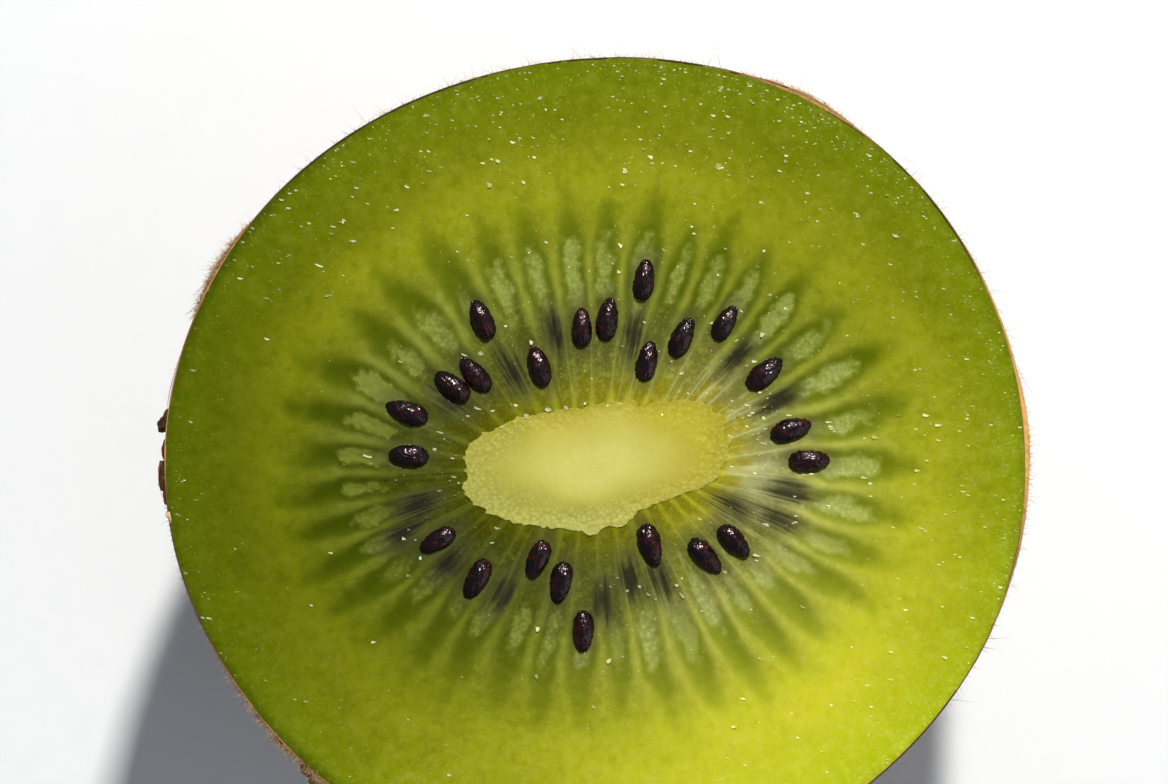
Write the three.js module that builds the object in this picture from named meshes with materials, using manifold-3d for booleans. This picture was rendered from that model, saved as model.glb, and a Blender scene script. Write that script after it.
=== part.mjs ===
// Half of a green kiwi fruit, cut across and lying on its blunt stem end with the cut face up.
//
// Two pieces: the flesh, which carries the skin, the ring of seed chambers (locules) and the seeds that
// show on the cut, and the pale core that runs from the cut face down towards the stem.
// Millimetres, +Z up. The origin is on the surface the half rests on, under the middle of its bounding
// box. The long way across the cut face is along X.
//
// A place on the cut face is given by a locule and a share. Locules are counted anticlockwise from the
// +X side: a whole number is the middle of one and a half is the wall (septum) between two. The share is
// 0 at the core, 1 at the outer end of the locules and 2 at the skin.

import * as THREE from "three";
import { mergeVertices } from "three/addons/utils/BufferGeometryUtils.js";
import Module from "manifold-3d";

const DEGREE = Math.PI / 180;
const FULL_TURN = 2 * Math.PI;

// The cut face: a slightly uneven oval. Waves are [how many go round, their size, where one peaks].
const FACE_RADIUS = 24.4;
const FACE_HALF = new THREE.Vector2(25, 23.75);
const OUTLINE_WAVES = [
  [1, 0.008, -3],
  [2, 0.0215, 9],
  [3, 0.0095, 136],
  [4, 0.0034, -60],
  [5, 0.0029, -87],
];

// The half fruit below the cut: a blunt rounded end, cut off flat where it rests.
const FACE_HEIGHT = 32;
const WHOLE_DEPTH = 32.5; // from the cut to where the rounded end would close
const BLUNTNESS = 2.3; // 2 would be an ellipse
const BELLY_DEPTH = 2.5; // from the cut down to the widest place
const BELLY_SWING = 3; // the cut is a little askew, so the belly is deeper on one side
const BELLY_SIDE = 25 * DEGREE;
const LUMP_SHARE = 0.006; // shallow unevenness of the skin
const LUMP_WAVES = 3;
const SKIN_RINGS = 10;
const SKIN_RING_BUNCHING = 1.6; // above 1 the rings lie closer near the resting end

// The stem scar, a shallow round hollow in the middle of the resting end.
const SCAR_RADIUS = 2;
const SCAR_FLOOR_RADIUS = 1.3;
const SCAR_DEPTH = 0.7;

// Crags of dry skin that stand out from the rim: [angle, how far, half their width], angles in degrees.
const RIM_CRAGS = [
  [61, 0.2, 7],
  [154, 0.2, 5],
  [174.5, 0.35, 2.5],
  [181.5, 0.3, 2.2],
];
const CRAG_DEPTH = 1.6;

// The ring of locules round the core.
const LOCULES = 38;
const STEPS_PER_LOCULE = 3;
const SEED_ZONE_HALF = new THREE.Vector2(18.6, 15.7);
const SPOKE_OFFSET = 2.75; // degrees
const SPOKE_WAVES = [
  [1, 1.95, 141],
  [2, 4.27, 68],
  [3, 2.14, 127],
  [5, 0.78, 123],
];
const LOCULE_SINK = 0.2; // the juicy locules lie lower than the septa
const LOCULE_OPENS = 0.25; // shares at which they are at their lowest, start to rise and are level again
const LOCULE_CLOSES = 0.75;
const LOCULE_ENDS = 1.25;
const FACE_SHARES = [1.93, 1.6, 1.3, 1.1, 0.85, 0.55, 0.3, 0.12];
const RIM_ROUNDING = 0.25;

// The core: an oval spindle that stands a little proud of the cut.
const CORE_HALF = new THREE.Vector2(7.35, 3.82);
const CORE_EDGE_OFFSET = -0.007; // as a share
const CORE_EDGE_WAVES = [
  [1, 0.03, 111],
  [2, 0.068, 62],
  [3, 0.023, 96],
];
const CORE_DEPTH = 26;
const CORE_PROUD = 0.15;
const CORE_BLUNTNESS = 2.2;
const CORE_SHOULDER = 0.4; // width of its rounded upper edge
const CORE_RINGS = 7;
const CORE_STEPS_PER_LOCULE = 2;
const SOCKET_GAP = 0.3;

// The seeds that show, as [locule, share].
const SEEDS = [
  [0.1, 0.45],
  [1.1, 0.39],
  [3.0, 0.44],
  [5.0, 0.53],
  [6.1, 0.38],
  [7.1, 0.22],
  [7.9, 0.61],
  [8.9, 0.4],
  [9.8, 0.36],
  [11.7, 0.2],
  [12.8, 0.51],
  [13.9, 0.28],
  [14.7, 0.3],
  [16.2, 0.39],
  [17.7, 0.31],
  [22.0, 0.32],
  [24.1, 0.36],
  [25.8, 0.16],
  [27.0, 0.25],
  [28.0, 0.48],
  [31.0, 0.09],
  [32.9, 0.24],
  [34.3, 0.26],
];
const SEED_HALF = new THREE.Vector3(0.63, 1.23, 0.55); // across, along the spoke, up
const SEED_SPREAD = 0.08; // seeds differ in size by this share
const SEED_LEAN = 7 * DEGREE;
const SEED_TAPER = 0.16;
const SEED_RAISED = 0.05; // middle of a seed above the face
const SEED_SIDES = 6;
const SEED_BANDS = 4;
const SEED_DRAW = 11;

const COLOURS = { flesh: 0x9bb02a, core: 0xd9d98a };

const wasm = await Module();
wasm.setup();

/** The sum of a list of waves at an angle in radians, in the unit of the waves' sizes. */
function waves(angle, list) {
  const add = (sum, [count, size, peak]) => sum + size * Math.cos(count * angle - peak * DEGREE);
  return list.reduce(add, 0);
}

/** A repeatable source of numbers from 0 to 1 (mulberry32). */
function drawsFrom(start) {
  let state = start;
  return () => {
    state = (state + 0x6d2b79f5) | 0;
    let mixed = Math.imul(state ^ (state >>> 15), 1 | state);
    mixed ^= mixed + Math.imul(mixed ^ (mixed >>> 7), 61 | mixed);
    return ((mixed ^ (mixed >>> 14)) >>> 0) / 4294967296;
  };
}

/** One closed surface through rings of equally many points, with a point at each end. */
function closedSurface(start, rings, end) {
  const sides = rings[0].length;
  const points = [start, ...rings.flat(), end];
  const faces = [];
  const at = (ring, side) => 1 + ring * sides + (side % sides);
  for (let side = 0; side < sides; side++) {
    faces.push(0, at(0, side + 1), at(0, side));
    faces.push(points.length - 1, at(rings.length - 1, side), at(rings.length - 1, side + 1));
    for (let ring = 1; ring < rings.length; ring++) {
      faces.push(at(ring - 1, side), at(ring - 1, side + 1), at(ring, side + 1));
      faces.push(at(ring - 1, side), at(ring, side + 1), at(ring, side));
    }
  }
  return new THREE.BufferGeometry().setFromPoints(points).setIndex(faces);
}

/** A closed geometry as a manifold-3d solid. */
function solidFrom(geometry) {
  const bare = geometry.clone();
  bare.deleteAttribute("normal");
  bare.deleteAttribute("uv");
  const merged = mergeVertices(bare);
  const vertProperties = new Float32Array(merged.attributes.position.array);
  const triVerts = new Uint32Array(merged.index.array);
  return new wasm.Manifold(new wasm.Mesh({ numProp: 3, vertProperties, triVerts }));
}

/** A manifold-3d solid as a flat-shaded geometry. */
function geometryFrom(solid) {
  const { vertProperties, triVerts } = solid.getMesh();
  const geometry = new THREE.BufferGeometry();
  geometry.setAttribute("position", new THREE.BufferAttribute(vertProperties, 3));
  geometry.setIndex(new THREE.BufferAttribute(triVerts, 1));
  return geometry;
}

/** The direction of a spoke in the ovals' own angle: x = half.x cos, y = half.y sin. */
function spokeAngle(locule) {
  const even = (FULL_TURN * locule) / LOCULES;
  return even + (SPOKE_OFFSET + waves(even, SPOKE_WAVES)) * DEGREE;
}

function onOval(half, angle) {
  return new THREE.Vector2(half.x * Math.cos(angle), half.y * Math.sin(angle));
}

/** A point of the rim where a spoke meets it. */
function rimPoint(locule) {
  const angle = onOval(FACE_HALF, spokeAngle(locule)).angle();
  const radius = FACE_RADIUS * (1 + waves(angle, OUTLINE_WAVES));
  return new THREE.Vector2(Math.cos(angle), Math.sin(angle)).multiplyScalar(radius);
}

/** A place on the cut face, seen from above. */
function facePoint(locule, share) {
  const angle = spokeAngle(locule);
  const zoneEnd = onOval(SEED_ZONE_HALF, angle);
  if (share > 1) return zoneEnd.lerp(rimPoint(locule), share - 1);
  return onOval(CORE_HALF, angle).lerp(zoneEnd, share);
}

/** How far a place on the cut face lies under the plane of the cut. */
function faceSink(locule, share) {
  const betweenSepta = (1 + Math.cos(FULL_TURN * locule)) / 2;
  const { smoothstep } = THREE.MathUtils;
  const alongLocule = smoothstep(share, 0, LOCULE_OPENS) - smoothstep(share, LOCULE_CLOSES, LOCULE_ENDS);
  return LOCULE_SINK * betweenSepta * alongLocule;
}

/** The width of the fruit at a depth below the cut, as a share of its width at the belly. */
function bodyWidth(depth, angle) {
  const belly = BELLY_DEPTH + BELLY_SWING * Math.cos(angle - BELLY_SIDE);
  const along = Math.abs(depth - belly) / (WHOLE_DEPTH - belly);
  return Math.max(0, 1 - along ** BLUNTNESS) ** (1 / BLUNTNESS);
}

/** How far the crags of dry skin stand out at a place on the side of the fruit. */
function cragAt(depth, angle) {
  const nearRim = Math.max(0, 1 - depth / CRAG_DEPTH);
  return RIM_CRAGS.reduce((sum, [peak, out, halfWidth]) => {
    const turned = Math.abs(angle / DEGREE - peak) % 360;
    const off = Math.min(turned, 360 - turned) / halfWidth;
    return sum + out * nearRim * Math.max(0, 1 - off ** 2);
  }, 0);
}

/** A place on the skin, on the spoke of a locule at a height above the resting end. */
function skinPoint(locule, height) {
  const rim = rimPoint(locule);
  const angle = rim.angle();
  const depth = FACE_HEIGHT - height;
  const width = bodyWidth(depth, angle) / bodyWidth(0, angle);
  const lump = Math.cos(LUMP_WAVES * (angle + depth / FACE_RADIUS)) * LUMP_SHARE;
  const middleOnly = Math.sin((Math.PI * depth) / FACE_HEIGHT);
  rim.setLength(rim.length() * width * (1 + lump * middleOnly) + cragAt(depth, angle));
  return new THREE.Vector3(rim.x, rim.y, height);
}

/** One ring round the fruit: the point that a function gives for each step round the locules. */
function ring(pointAt, stepsPerLocule = STEPS_PER_LOCULE) {
  const steps = LOCULES * stepsPerLocule;
  return Array.from({ length: steps }, (_, step) => pointAt(step / stepsPerLocule + 0.5));
}

/** The core's outline at a depth below the cut, widened by a gap. */
function corePoint(locule, depth, whole, gap) {
  const angle = spokeAngle(locule);
  const share = CORE_EDGE_OFFSET + waves(angle, CORE_EDGE_WAVES);
  const edge = facePoint(locule, share);
  const taper = (1 - (depth / whole) ** CORE_BLUNTNESS) ** (1 / CORE_BLUNTNESS);
  const widened = edge.multiplyScalar(taper).add(onOval(new THREE.Vector2(gap, gap), angle));
  return new THREE.Vector3(widened.x, widened.y, FACE_HEIGHT - depth);
}

/** Depths of the rings down the core, closer together near its tip. */
function coreDepths(whole) {
  const depthOf = (index) => whole * Math.sin((Math.PI * index) / CORE_RINGS / 2);
  return Array.from({ length: CORE_RINGS }, (_, index) => depthOf(index));
}

/** A round ring on the resting end. */
function scarRing(radius, height) {
  return ring((locule) => {
    const flat = rimPoint(locule).setLength(radius);
    return new THREE.Vector3(flat.x, flat.y, height);
  });
}

/** The flesh without seeds: resting end, skin, cut face and the socket that holds the core. */
function fleshBody() {
  const skin = Array.from({ length: SKIN_RINGS + 1 }, (_, index) => {
    const height = (FACE_HEIGHT - RIM_ROUNDING) * (index / SKIN_RINGS) ** SKIN_RING_BUNCHING;
    return ring((locule) => skinPoint(locule, height));
  });
  const face = FACE_SHARES.map((share) =>
    ring((locule) => {
      const place = facePoint(locule, share);
      return new THREE.Vector3(place.x, place.y, FACE_HEIGHT - faceSink(locule, share));
    }),
  );
  const socketDepth = CORE_DEPTH + SOCKET_GAP;
  const socket = coreDepths(socketDepth).map((depth) =>
    ring((locule) => corePoint(locule, depth, socketDepth, SOCKET_GAP)),
  );
  const scarCentre = new THREE.Vector3(0, 0, SCAR_DEPTH);
  const socketEnd = new THREE.Vector3(0, 0, FACE_HEIGHT - socketDepth);
  const scar = [scarRing(SCAR_FLOOR_RADIUS, SCAR_DEPTH), scarRing(SCAR_RADIUS, 0)];
  return closedSurface(scarCentre, [...scar, ...skin, ...face, ...socket], socketEnd);
}

/** A seed: an egg shape lying along its spoke, half sunk in the flesh. */
function seed([locule, share], draw) {
  const geometry = new THREE.SphereGeometry(1, SEED_SIDES, SEED_BANDS);
  const places = geometry.attributes.position;
  for (let index = 0; index < places.count; index++) {
    const narrowing = 1 - SEED_TAPER * places.getY(index);
    places.setXYZ(index, places.getX(index) * narrowing, places.getY(index), places.getZ(index) * narrowing);
  }
  const size = 1 + SEED_SPREAD * (2 * draw() - 1);
  geometry.scale(SEED_HALF.x * size, SEED_HALF.y * size, SEED_HALF.z * size);
  const place = facePoint(locule, share);
  const outward = facePoint(locule, share + 0.1).sub(place);
  geometry.rotateZ(outward.angle() - Math.PI / 2 + SEED_LEAN * (2 * draw() - 1));
  geometry.translate(place.x, place.y, FACE_HEIGHT - faceSink(locule, share) + SEED_RAISED);
  return geometry;
}

function flesh() {
  const draw = drawsFrom(SEED_DRAW);
  const withSeed = (body, place) => body.add(solidFrom(seed(place, draw)));
  return geometryFrom(SEEDS.reduce(withSeed, solidFrom(fleshBody())));
}

/** The core: a spindle with a rounded upper edge, blunt at its lower end. */
function core() {
  const top = new THREE.Vector3(0, 0, FACE_HEIGHT + CORE_PROUD);
  const shoulder = ring((locule) => {
    const edge = corePoint(locule, 0, CORE_DEPTH, -CORE_SHOULDER);
    return edge.setZ(FACE_HEIGHT + CORE_PROUD);
  }, CORE_STEPS_PER_LOCULE);
  const sides = coreDepths(CORE_DEPTH).map((depth) =>
    ring((locule) => corePoint(locule, depth, CORE_DEPTH, 0), CORE_STEPS_PER_LOCULE),
  );
  const tip = new THREE.Vector3(0, 0, FACE_HEIGHT - CORE_DEPTH);
  return closedSurface(tip, [shoulder, ...sides].reverse(), top);
}

/** A named piece with its own wet or matt material. */
function piece(name, geometry, roughness) {
  const looks = { color: COLOURS[name], roughness, metalness: 0, flatShading: true };
  const material = new THREE.MeshStandardMaterial(looks);
  const mesh = new THREE.Mesh(geometry, material);
  mesh.name = name;
  return mesh;
}

const half = new THREE.Group();
half.add(piece("flesh", flesh(), 0.4), piece("core", core(), 0.5));

// The uneven outline is centred on its bounding box.
const middle = new THREE.Box3().setFromObject(half).getCenter(new THREE.Vector3());
half.position.set(-middle.x, -middle.y, 0);

export default half;
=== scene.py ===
"""Half a green kiwi fruit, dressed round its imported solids: wet flesh, core, skin, fuzz, seeds and juice.

Laid out as a Blender add-on and run as a script. Everything is in metres, +Z up. The half lies on its
stem end with the cut face up, and the long way across the cut is along X.
"""

import itertools
import math

import bpy
import numpy as np
from bpy.props import FloatProperty, FloatVectorProperty, IntProperty, PointerProperty
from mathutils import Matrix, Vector


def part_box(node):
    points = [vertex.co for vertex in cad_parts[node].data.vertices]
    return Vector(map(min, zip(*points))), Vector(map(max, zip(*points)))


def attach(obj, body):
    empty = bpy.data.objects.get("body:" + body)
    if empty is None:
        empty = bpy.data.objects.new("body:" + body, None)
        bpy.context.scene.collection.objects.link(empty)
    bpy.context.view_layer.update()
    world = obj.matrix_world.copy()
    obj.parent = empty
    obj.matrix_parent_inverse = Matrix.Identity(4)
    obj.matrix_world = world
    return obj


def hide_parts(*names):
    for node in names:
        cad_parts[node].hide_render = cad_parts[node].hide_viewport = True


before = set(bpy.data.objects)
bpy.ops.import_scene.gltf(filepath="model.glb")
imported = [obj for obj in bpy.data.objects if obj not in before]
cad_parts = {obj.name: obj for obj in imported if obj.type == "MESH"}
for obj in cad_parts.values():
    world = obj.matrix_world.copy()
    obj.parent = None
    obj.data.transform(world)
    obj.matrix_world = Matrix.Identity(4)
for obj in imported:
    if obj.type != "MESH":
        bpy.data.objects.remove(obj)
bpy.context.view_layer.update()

bl_info = {
    "name": "Kiwi Fruit Half",
    "version": (1, 0, 0),
    "blender": (4, 5, 0),
    "location": "3D View > Sidebar > Kiwi",
    "description": "Dresses the solids of half a kiwi fruit with flesh, core, skin, fuzz, seeds and juice",
    "category": "Add Mesh",
}

MM = 0.001
FULL_TURN = 2 * math.pi

# ---------------------------------------------------------------------------------------------------
# The form, the same as that of the solids. Waves are (how many go round, their size, where one peaks
# in degrees). A place on the cut is given by a locule and a share: locules, the seed chambers, are
# counted anticlockwise from the +X side, a whole number in the middle of one and a half on the wall
# (septum) between two. The share is 0 at the core, 1 at the locules' outer end and 2 at the skin.

FACE_RADIUS = 24.4 * MM
FACE_HALF = (25 * MM, 23.75 * MM)
OUTLINE_WAVES = [(1, 0.008, -3), (2, 0.0215, 9), (3, 0.0095, 136), (4, 0.0034, -60), (5, 0.0029, -87)]
FACE_HEIGHT = 32 * MM
WHOLE_DEPTH = 32.5 * MM
BLUNTNESS = 2.3
BELLY_DEPTH = 2.5 * MM
BELLY_SWING = 3 * MM
BELLY_SIDE = math.radians(25)
LUMP_SHARE = 0.006
LUMP_WAVES = 3
SCAR_RADIUS = 2 * MM
SCAR_DEPTH = 0.7 * MM

LOCULES = 38
SEED_ZONE_HALF = (18.6 * MM, 15.7 * MM)
SPOKE_OFFSET = 2.75
SPOKE_WAVES = [(1, 1.95, 141), (2, 4.27, 68), (3, 2.14, 127), (5, 0.78, 123)]

CORE_HALF = (7.35 * MM, 3.82 * MM)
CORE_EDGE_OFFSET = -0.007
CORE_EDGE_WAVES = [(1, 0.03, 111), (2, 0.068, 62), (3, 0.023, 96)]
CORE_DEPTH = 26 * MM
CORE_PROUD = 0.15 * MM
CORE_BLUNTNESS = 2.2

# Seeds that show and seeds that shine dimly through the flesh, as (locule, share).
SEEDS = [
    (0.1, 0.45), (1.1, 0.39), (3.0, 0.44), (5.0, 0.53), (6.1, 0.38), (7.1, 0.22), (7.9, 0.61), (8.9, 0.4),
    (9.8, 0.36), (11.7, 0.2), (12.8, 0.51), (13.9, 0.28), (14.7, 0.3), (16.2, 0.39), (17.7, 0.31),
    (22.0, 0.32), (24.1, 0.36), (25.8, 0.16), (27.0, 0.25), (28.0, 0.48), (31.0, 0.09), (32.9, 0.24),
    (34.3, 0.26),
]
BURIED_SEEDS = [
    (2.1, 0.4), (3.9, 0.43), (7.9, 0.33), (10.8, 0.35), (12.7, 0.21), (15.2, 0.26), (20.1, 0.3),
    (21.1, 0.45), (23.0, 0.37), (25.0, 0.37), (28.7, 0.33), (29.8, 0.23), (30.8, 0.26), (35.8, 0.12),
    (36.0, 0.36), (37.1, 0.37),
]
SEED_HALF = (0.63 * MM, 1.23 * MM, 0.55 * MM)
SEED_BULGE = 2.15
SEED_SPREAD = 0.08
SEED_LEAN = math.radians(7)
SEED_TAPER = 0.16
SEED_RAISED = 0.05 * MM
SEED_DRAW = 11


def linear(hex_colour):
    """An sRGB hex colour as linear RGBA.

    Each channel c is c / 12.92 up to 0.04045, and ((c + 0.055) / 1.055) ** 2.4 above it.
    """
    channels = [int(hex_colour[at : at + 2], 16) / 255 for at in (1, 3, 5)]
    return (*[c / 12.92 if c <= 0.04045 else ((c + 0.055) / 1.055) ** 2.4 for c in channels], 1.0)


# ---------------------------------------------------------------------------------------------------
# Settings


class KiwiSizes(bpy.types.PropertyGroup):
    """Sizes and counts of what is laid over the solids."""

    locule_sink: FloatProperty(
        name="Locule Sink", description="How far the juicy locules lie below the septa",
        default=0.16 * MM, unit="LENGTH",
    )
    skin_thickness: FloatProperty(
        name="Skin Thickness", description="Thickness of the peel at the cut", default=0.1 * MM, unit="LENGTH"
    )
    pit_depth: FloatProperty(
        name="Seed Pits", description="Depth of the pits in the seed coats", default=0.05 * MM, unit="LENGTH"
    )
    fuzz_length: FloatProperty(
        name="Fuzz Length", description="Length of an average hair of the short fuzz",
        default=0.7 * MM, unit="LENGTH",
    )
    fuzz_count: IntProperty(name="Fuzz Hairs", description="Hairs in the short fuzz", default=17000, min=1)
    bristle_count: IntProperty(
        name="Bristles", description="Longer hairs among the fuzz", default=5000, min=1
    )
    bead_count: IntProperty(name="Juice Beads", description="Beads of juice on the cut", default=1700, min=1)


class KiwiColours(bpy.types.PropertyGroup):
    """Main colours, as linear values."""

    # Outer flesh and septa are given as they show where the painted light on the cut is brightest.
    pericarp: FloatVectorProperty(
        name="Outer Flesh", description="Flesh outside the locules, on its side with the most painted light", subtype="COLOR",
        size=4, default=linear("#e4de34"),
    )
    septum: FloatVectorProperty(
        name="Septa", description="Pale walls between the locules, on the side with the most painted light", subtype="COLOR",
        size=4, default=linear("#e2e16e"),
    )
    gel: FloatVectorProperty(
        name="Locule Tips", description="Clear green gel at the outer end of the locules", subtype="COLOR",
        size=4, default=linear("#808e04"),
    )
    core: FloatVectorProperty(
        name="Core", description="Middle of the core", subtype="COLOR", size=4, default=linear("#d9d270")
    )
    seed_coat: FloatVectorProperty(
        name="Seed Coat", description="Dark aubergine of the seeds", subtype="COLOR", size=4,
        default=linear("#100407"),
    )
    skin: FloatVectorProperty(
        name="Skin", description="Tan brown of the peel", subtype="COLOR", size=4, default=linear("#8f6c40")
    )
    fuzz: FloatVectorProperty(
        name="Fuzz", description="Golden brown of the hairs", subtype="COLOR", size=4,
        default=linear("#c49a66"),
    )


# ---------------------------------------------------------------------------------------------------
# Helpers


def waves(angle, table):
    """The sum of size cos(count angle - peak) over waves, at an angle in radians."""
    return sum(size * np.cos(count * angle - math.radians(peak)) for count, size, peak in table)


def bell(value, middle, half_width):
    """exp(-((value - middle) / half width)^2)."""
    return np.exp(-(((value - middle) / half_width) ** 2))


def bumps(angle, table):
    """The sum of bells round a turn, each as (degrees where it peaks, size, half width in degrees)."""
    degrees = np.degrees(angle)
    return sum(size * bell((degrees - peak + 180) % 360 - 180, 0, width) for peak, size, width in table)


def fade_in(value, span):
    """0 below the span's low end, 1 above its high end, and 3t^2 - 2t^3 between them."""
    low, high = span
    part = np.clip((value - low) / (high - low), 0, 1)
    return part * part * (3 - 2 * part)


def fade_out(value, span):
    """1 below the span's low end and 0 above its high end."""
    return 1 - fade_in(value, span)


HASH_STEPS = np.array([73856093, 19349663, 83492791], np.int64)
HASH_SEED_STEP = 7919
HASH_MIX = 1274126177
HASH_SHIFTS = (13, 16)
HASH_MASK = 0xFFFFFF


def noise(places, seed=0):
    """Smooth values from -1 to 1 over places of 2 or 3 coordinates, one lump per unit.

    Each whole-number corner of a cell draws a value by hashing its coordinates, and the values are
    blended across the cell with the curve 6t^5 - 15t^4 + 10t^3.
    """
    places = np.asarray(places, float)
    low = np.floor(places).astype(np.int64)
    part = places - low
    part = part**3 * (part * (part * 6 - 15) + 10)
    total = np.zeros(places.shape[:-1])
    for corner in itertools.product((0, 1), repeat=places.shape[-1]):
        key = ((low + corner) * HASH_STEPS[: len(corner)]).sum(-1) + seed * HASH_SEED_STEP
        key = (key ^ (key >> HASH_SHIFTS[0])) * HASH_MIX
        key = (key ^ (key >> HASH_SHIFTS[1])) & HASH_MASK
        total += np.prod(np.where(corner, part, 1 - part), -1) * (2 * key / HASH_MASK - 1)
    return total


def rough_noise(places, octaves, seed=0):
    """Noise with finer and fainter noise added, each octave half the size and half the strength."""
    return sum(noise(places * 2**k, seed + k) / 2**k for k in range(octaves))


def unit(ways):
    """Directions made one long."""
    return ways / np.linalg.norm(ways, axis=-1, keepdims=True)


def turned(points, turn):
    """Points, as the last axis, with x and y turned anticlockwise by one angle."""
    along, across = towards(turn), towards(turn + np.pi / 2)
    flat = points[..., :1] * along + points[..., 1:2] * across
    return np.concatenate([flat, points[..., 2:]], -1)


def on_oval(half, angle):
    """Points x = half_x cos(angle), y = half_y sin(angle)."""
    return np.stack([half[0] * np.cos(angle), half[1] * np.sin(angle)], -1)


def towards(angle):
    """The direction (cos, sin) of an angle."""
    return on_oval((1, 1), angle)


def spoke_angle(locule):
    """The oval angle of a locule: evenly spaced spokes, swung a few degrees by slow waves."""
    even = FULL_TURN * np.asarray(locule) / LOCULES
    return even + np.radians(SPOKE_OFFSET + waves(even, SPOKE_WAVES))


def rim_angle(locule):
    """The direction in which a locule's spoke meets the rim."""
    across = on_oval(FACE_HALF, spoke_angle(locule))
    return np.arctan2(across[..., 1], across[..., 0])


def rim_radius(angle):
    """The rim's distance from the middle: the mean radius times 1 plus the outline's waves."""
    return FACE_RADIUS * (1 + waves(angle, OUTLINE_WAVES))


def face_point(locule, share):
    """A place on the cut: core oval to zone oval for shares up to 1, then on to the rim."""
    angle = spoke_angle(locule)
    direction = rim_angle(locule)
    share = np.asarray(share)[..., None]
    core, zone = on_oval(CORE_HALF, angle), on_oval(SEED_ZONE_HALF, angle)
    rim = towards(direction) * rim_radius(direction)[..., None]
    return np.where(share > 1, zone + (rim - zone) * (share - 1), core + (zone - core) * share)


def core_share(locule):
    """The share at which the core ends, pushed in and out by waves."""
    return CORE_EDGE_OFFSET + waves(spoke_angle(locule), CORE_EDGE_WAVES)


def body_width(depth, angle):
    """Width at a depth below the cut as a share of the belly's: the superellipse (1 - t^p)^(1/p)."""
    belly = BELLY_DEPTH + BELLY_SWING * np.cos(angle - BELLY_SIDE)
    along = np.abs(depth - belly) / (WHOLE_DEPTH - belly)
    return np.maximum(0, 1 - along**BLUNTNESS) ** (1 / BLUNTNESS)


def side_point(angle, height, out=0.0):
    """The side of the fruit: the rim's outline scaled by the body's width, with shallow lumps."""
    angle, height = np.broadcast_arrays(np.asarray(angle, float), np.asarray(height, float))
    depth = FACE_HEIGHT - np.minimum(height, FACE_HEIGHT)
    width = body_width(depth, angle) / body_width(0 * depth, angle)
    lump = np.cos(LUMP_WAVES * (angle + depth / FACE_RADIUS)) * np.sin(np.pi * depth / FACE_HEIGHT)
    radius = rim_radius(angle) * width * (1 + LUMP_SHARE * lump) + out
    return np.concatenate([towards(angle) * radius[..., None], height[..., None]], -1)


def frame_shift():
    """How far the solids were moved to centre them: the middle of the core's box less its outline's."""
    low, high = (np.array(corner)[:2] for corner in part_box("core"))
    locule = np.arange(LOCULES * 2) / 2
    edge = face_point(locule, core_share(locule))
    return np.append((low + high - edge.min(0) - edge.max(0)) / 2, 0)


SHIFT = frame_shift()


def closed_surface(rings, start, end):
    """Points and faces of rings of points, rows x sides x 3, closed by a fan to a point at each end."""
    rows, sides = rings.shape[:2]
    points = np.concatenate([rings.reshape(-1, 3), [start, end]])
    row, side = np.meshgrid(np.arange(rows - 1), np.arange(sides), indexing="ij")
    after = (side + 1) % sides
    corners = [row * sides + side, row * sides + after, (row + 1) * sides + after, (row + 1) * sides + side]
    side = np.arange(sides)
    after = (side + 1) % sides
    last = (rows - 1) * sides
    first_fan = np.stack([0 * side + rows * sides, after, side], -1)
    last_fan = np.stack([0 * side + rows * sides + 1, last + side, last + after], -1)
    return points, np.stack(corners, -1).reshape(-1, 4).tolist() + first_fan.tolist() + last_fan.tolist()


def joined(surfaces):
    """One mesh from several surfaces of points and faces."""
    faces, count = [], 0
    for points, found in surfaces:
        faces += [[vertex + count for vertex in face] for face in found]
        count += len(points)
    return np.concatenate([points for points, _ in surfaces]), faces


def copies(places, quads, triangles):
    """One mesh from copies of a small shape; places is copies x points x 3."""
    count, each = places.shape[:2]
    first = each * np.arange(count)[:, None, None]
    fours = (np.array(quads) + first).reshape(-1, 4)
    threes = (np.array(triangles) + first).reshape(-1, 3)
    return places.reshape(-1, 3), fours.tolist() + threes.tolist()


def put_piece(name, surface, material, fields=None, smooth=True):
    """Links a mesh of points and faces with its point attributes, riding on the fruit's body."""
    points, faces = surface
    mesh = bpy.data.meshes.new(name)
    mesh.from_pydata(np.asarray(points) + SHIFT, [], faces)
    for field, values in (fields or {}).items():
        attribute = mesh.attributes.new(field, "FLOAT", "POINT")
        attribute.data.foreach_set("value", np.ravel(values).astype(np.float32))
    mesh.polygons.foreach_set("use_smooth", np.full(len(mesh.polygons), smooth))
    mesh.materials.append(material)
    piece = bpy.data.objects.new(name, mesh)
    bpy.context.scene.collection.objects.link(piece)
    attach(piece, "root")
    return piece


def add_node(tree, kind, inputs=None, stops=(), **settings):
    """Adds a node with its settings; inputs maps a socket to a value or to an output to link.

    stops are the (position, colour) pairs of a colour ramp, its two ends first.
    """
    made = tree.nodes.new(kind)
    for name, value in settings.items():
        setattr(made, name, value)
    for name, value in (inputs or {}).items():
        if isinstance(value, bpy.types.NodeSocket):
            tree.links.new(value, made.inputs[name])
        else:
            made.inputs[name].default_value = value
    for number, (position, colour) in enumerate(stops):
        elements = made.color_ramp.elements
        stop = elements[number] if number < 2 else elements.new(position)
        stop.position = position
        stop.color = colour
    return made


# Kinds of pattern, as a node and its output.
NOISE = ("ShaderNodeTexNoise", "Fac")
CELLS = ("ShaderNodeTexVoronoi", "Distance")
# A Mix node's sockets go by number, as their names repeat: how much of the second it takes, the two
# numbers or the two colours that it mixes, and the output of each.
MIX_PART = 0
FIRST_NUMBER, SECOND_NUMBER, MIXED_NUMBER = 2, 3, 0
FIRST_COLOUR, SECOND_COLOUR, MIXED_COLOUR = 6, 7, 2


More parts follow.
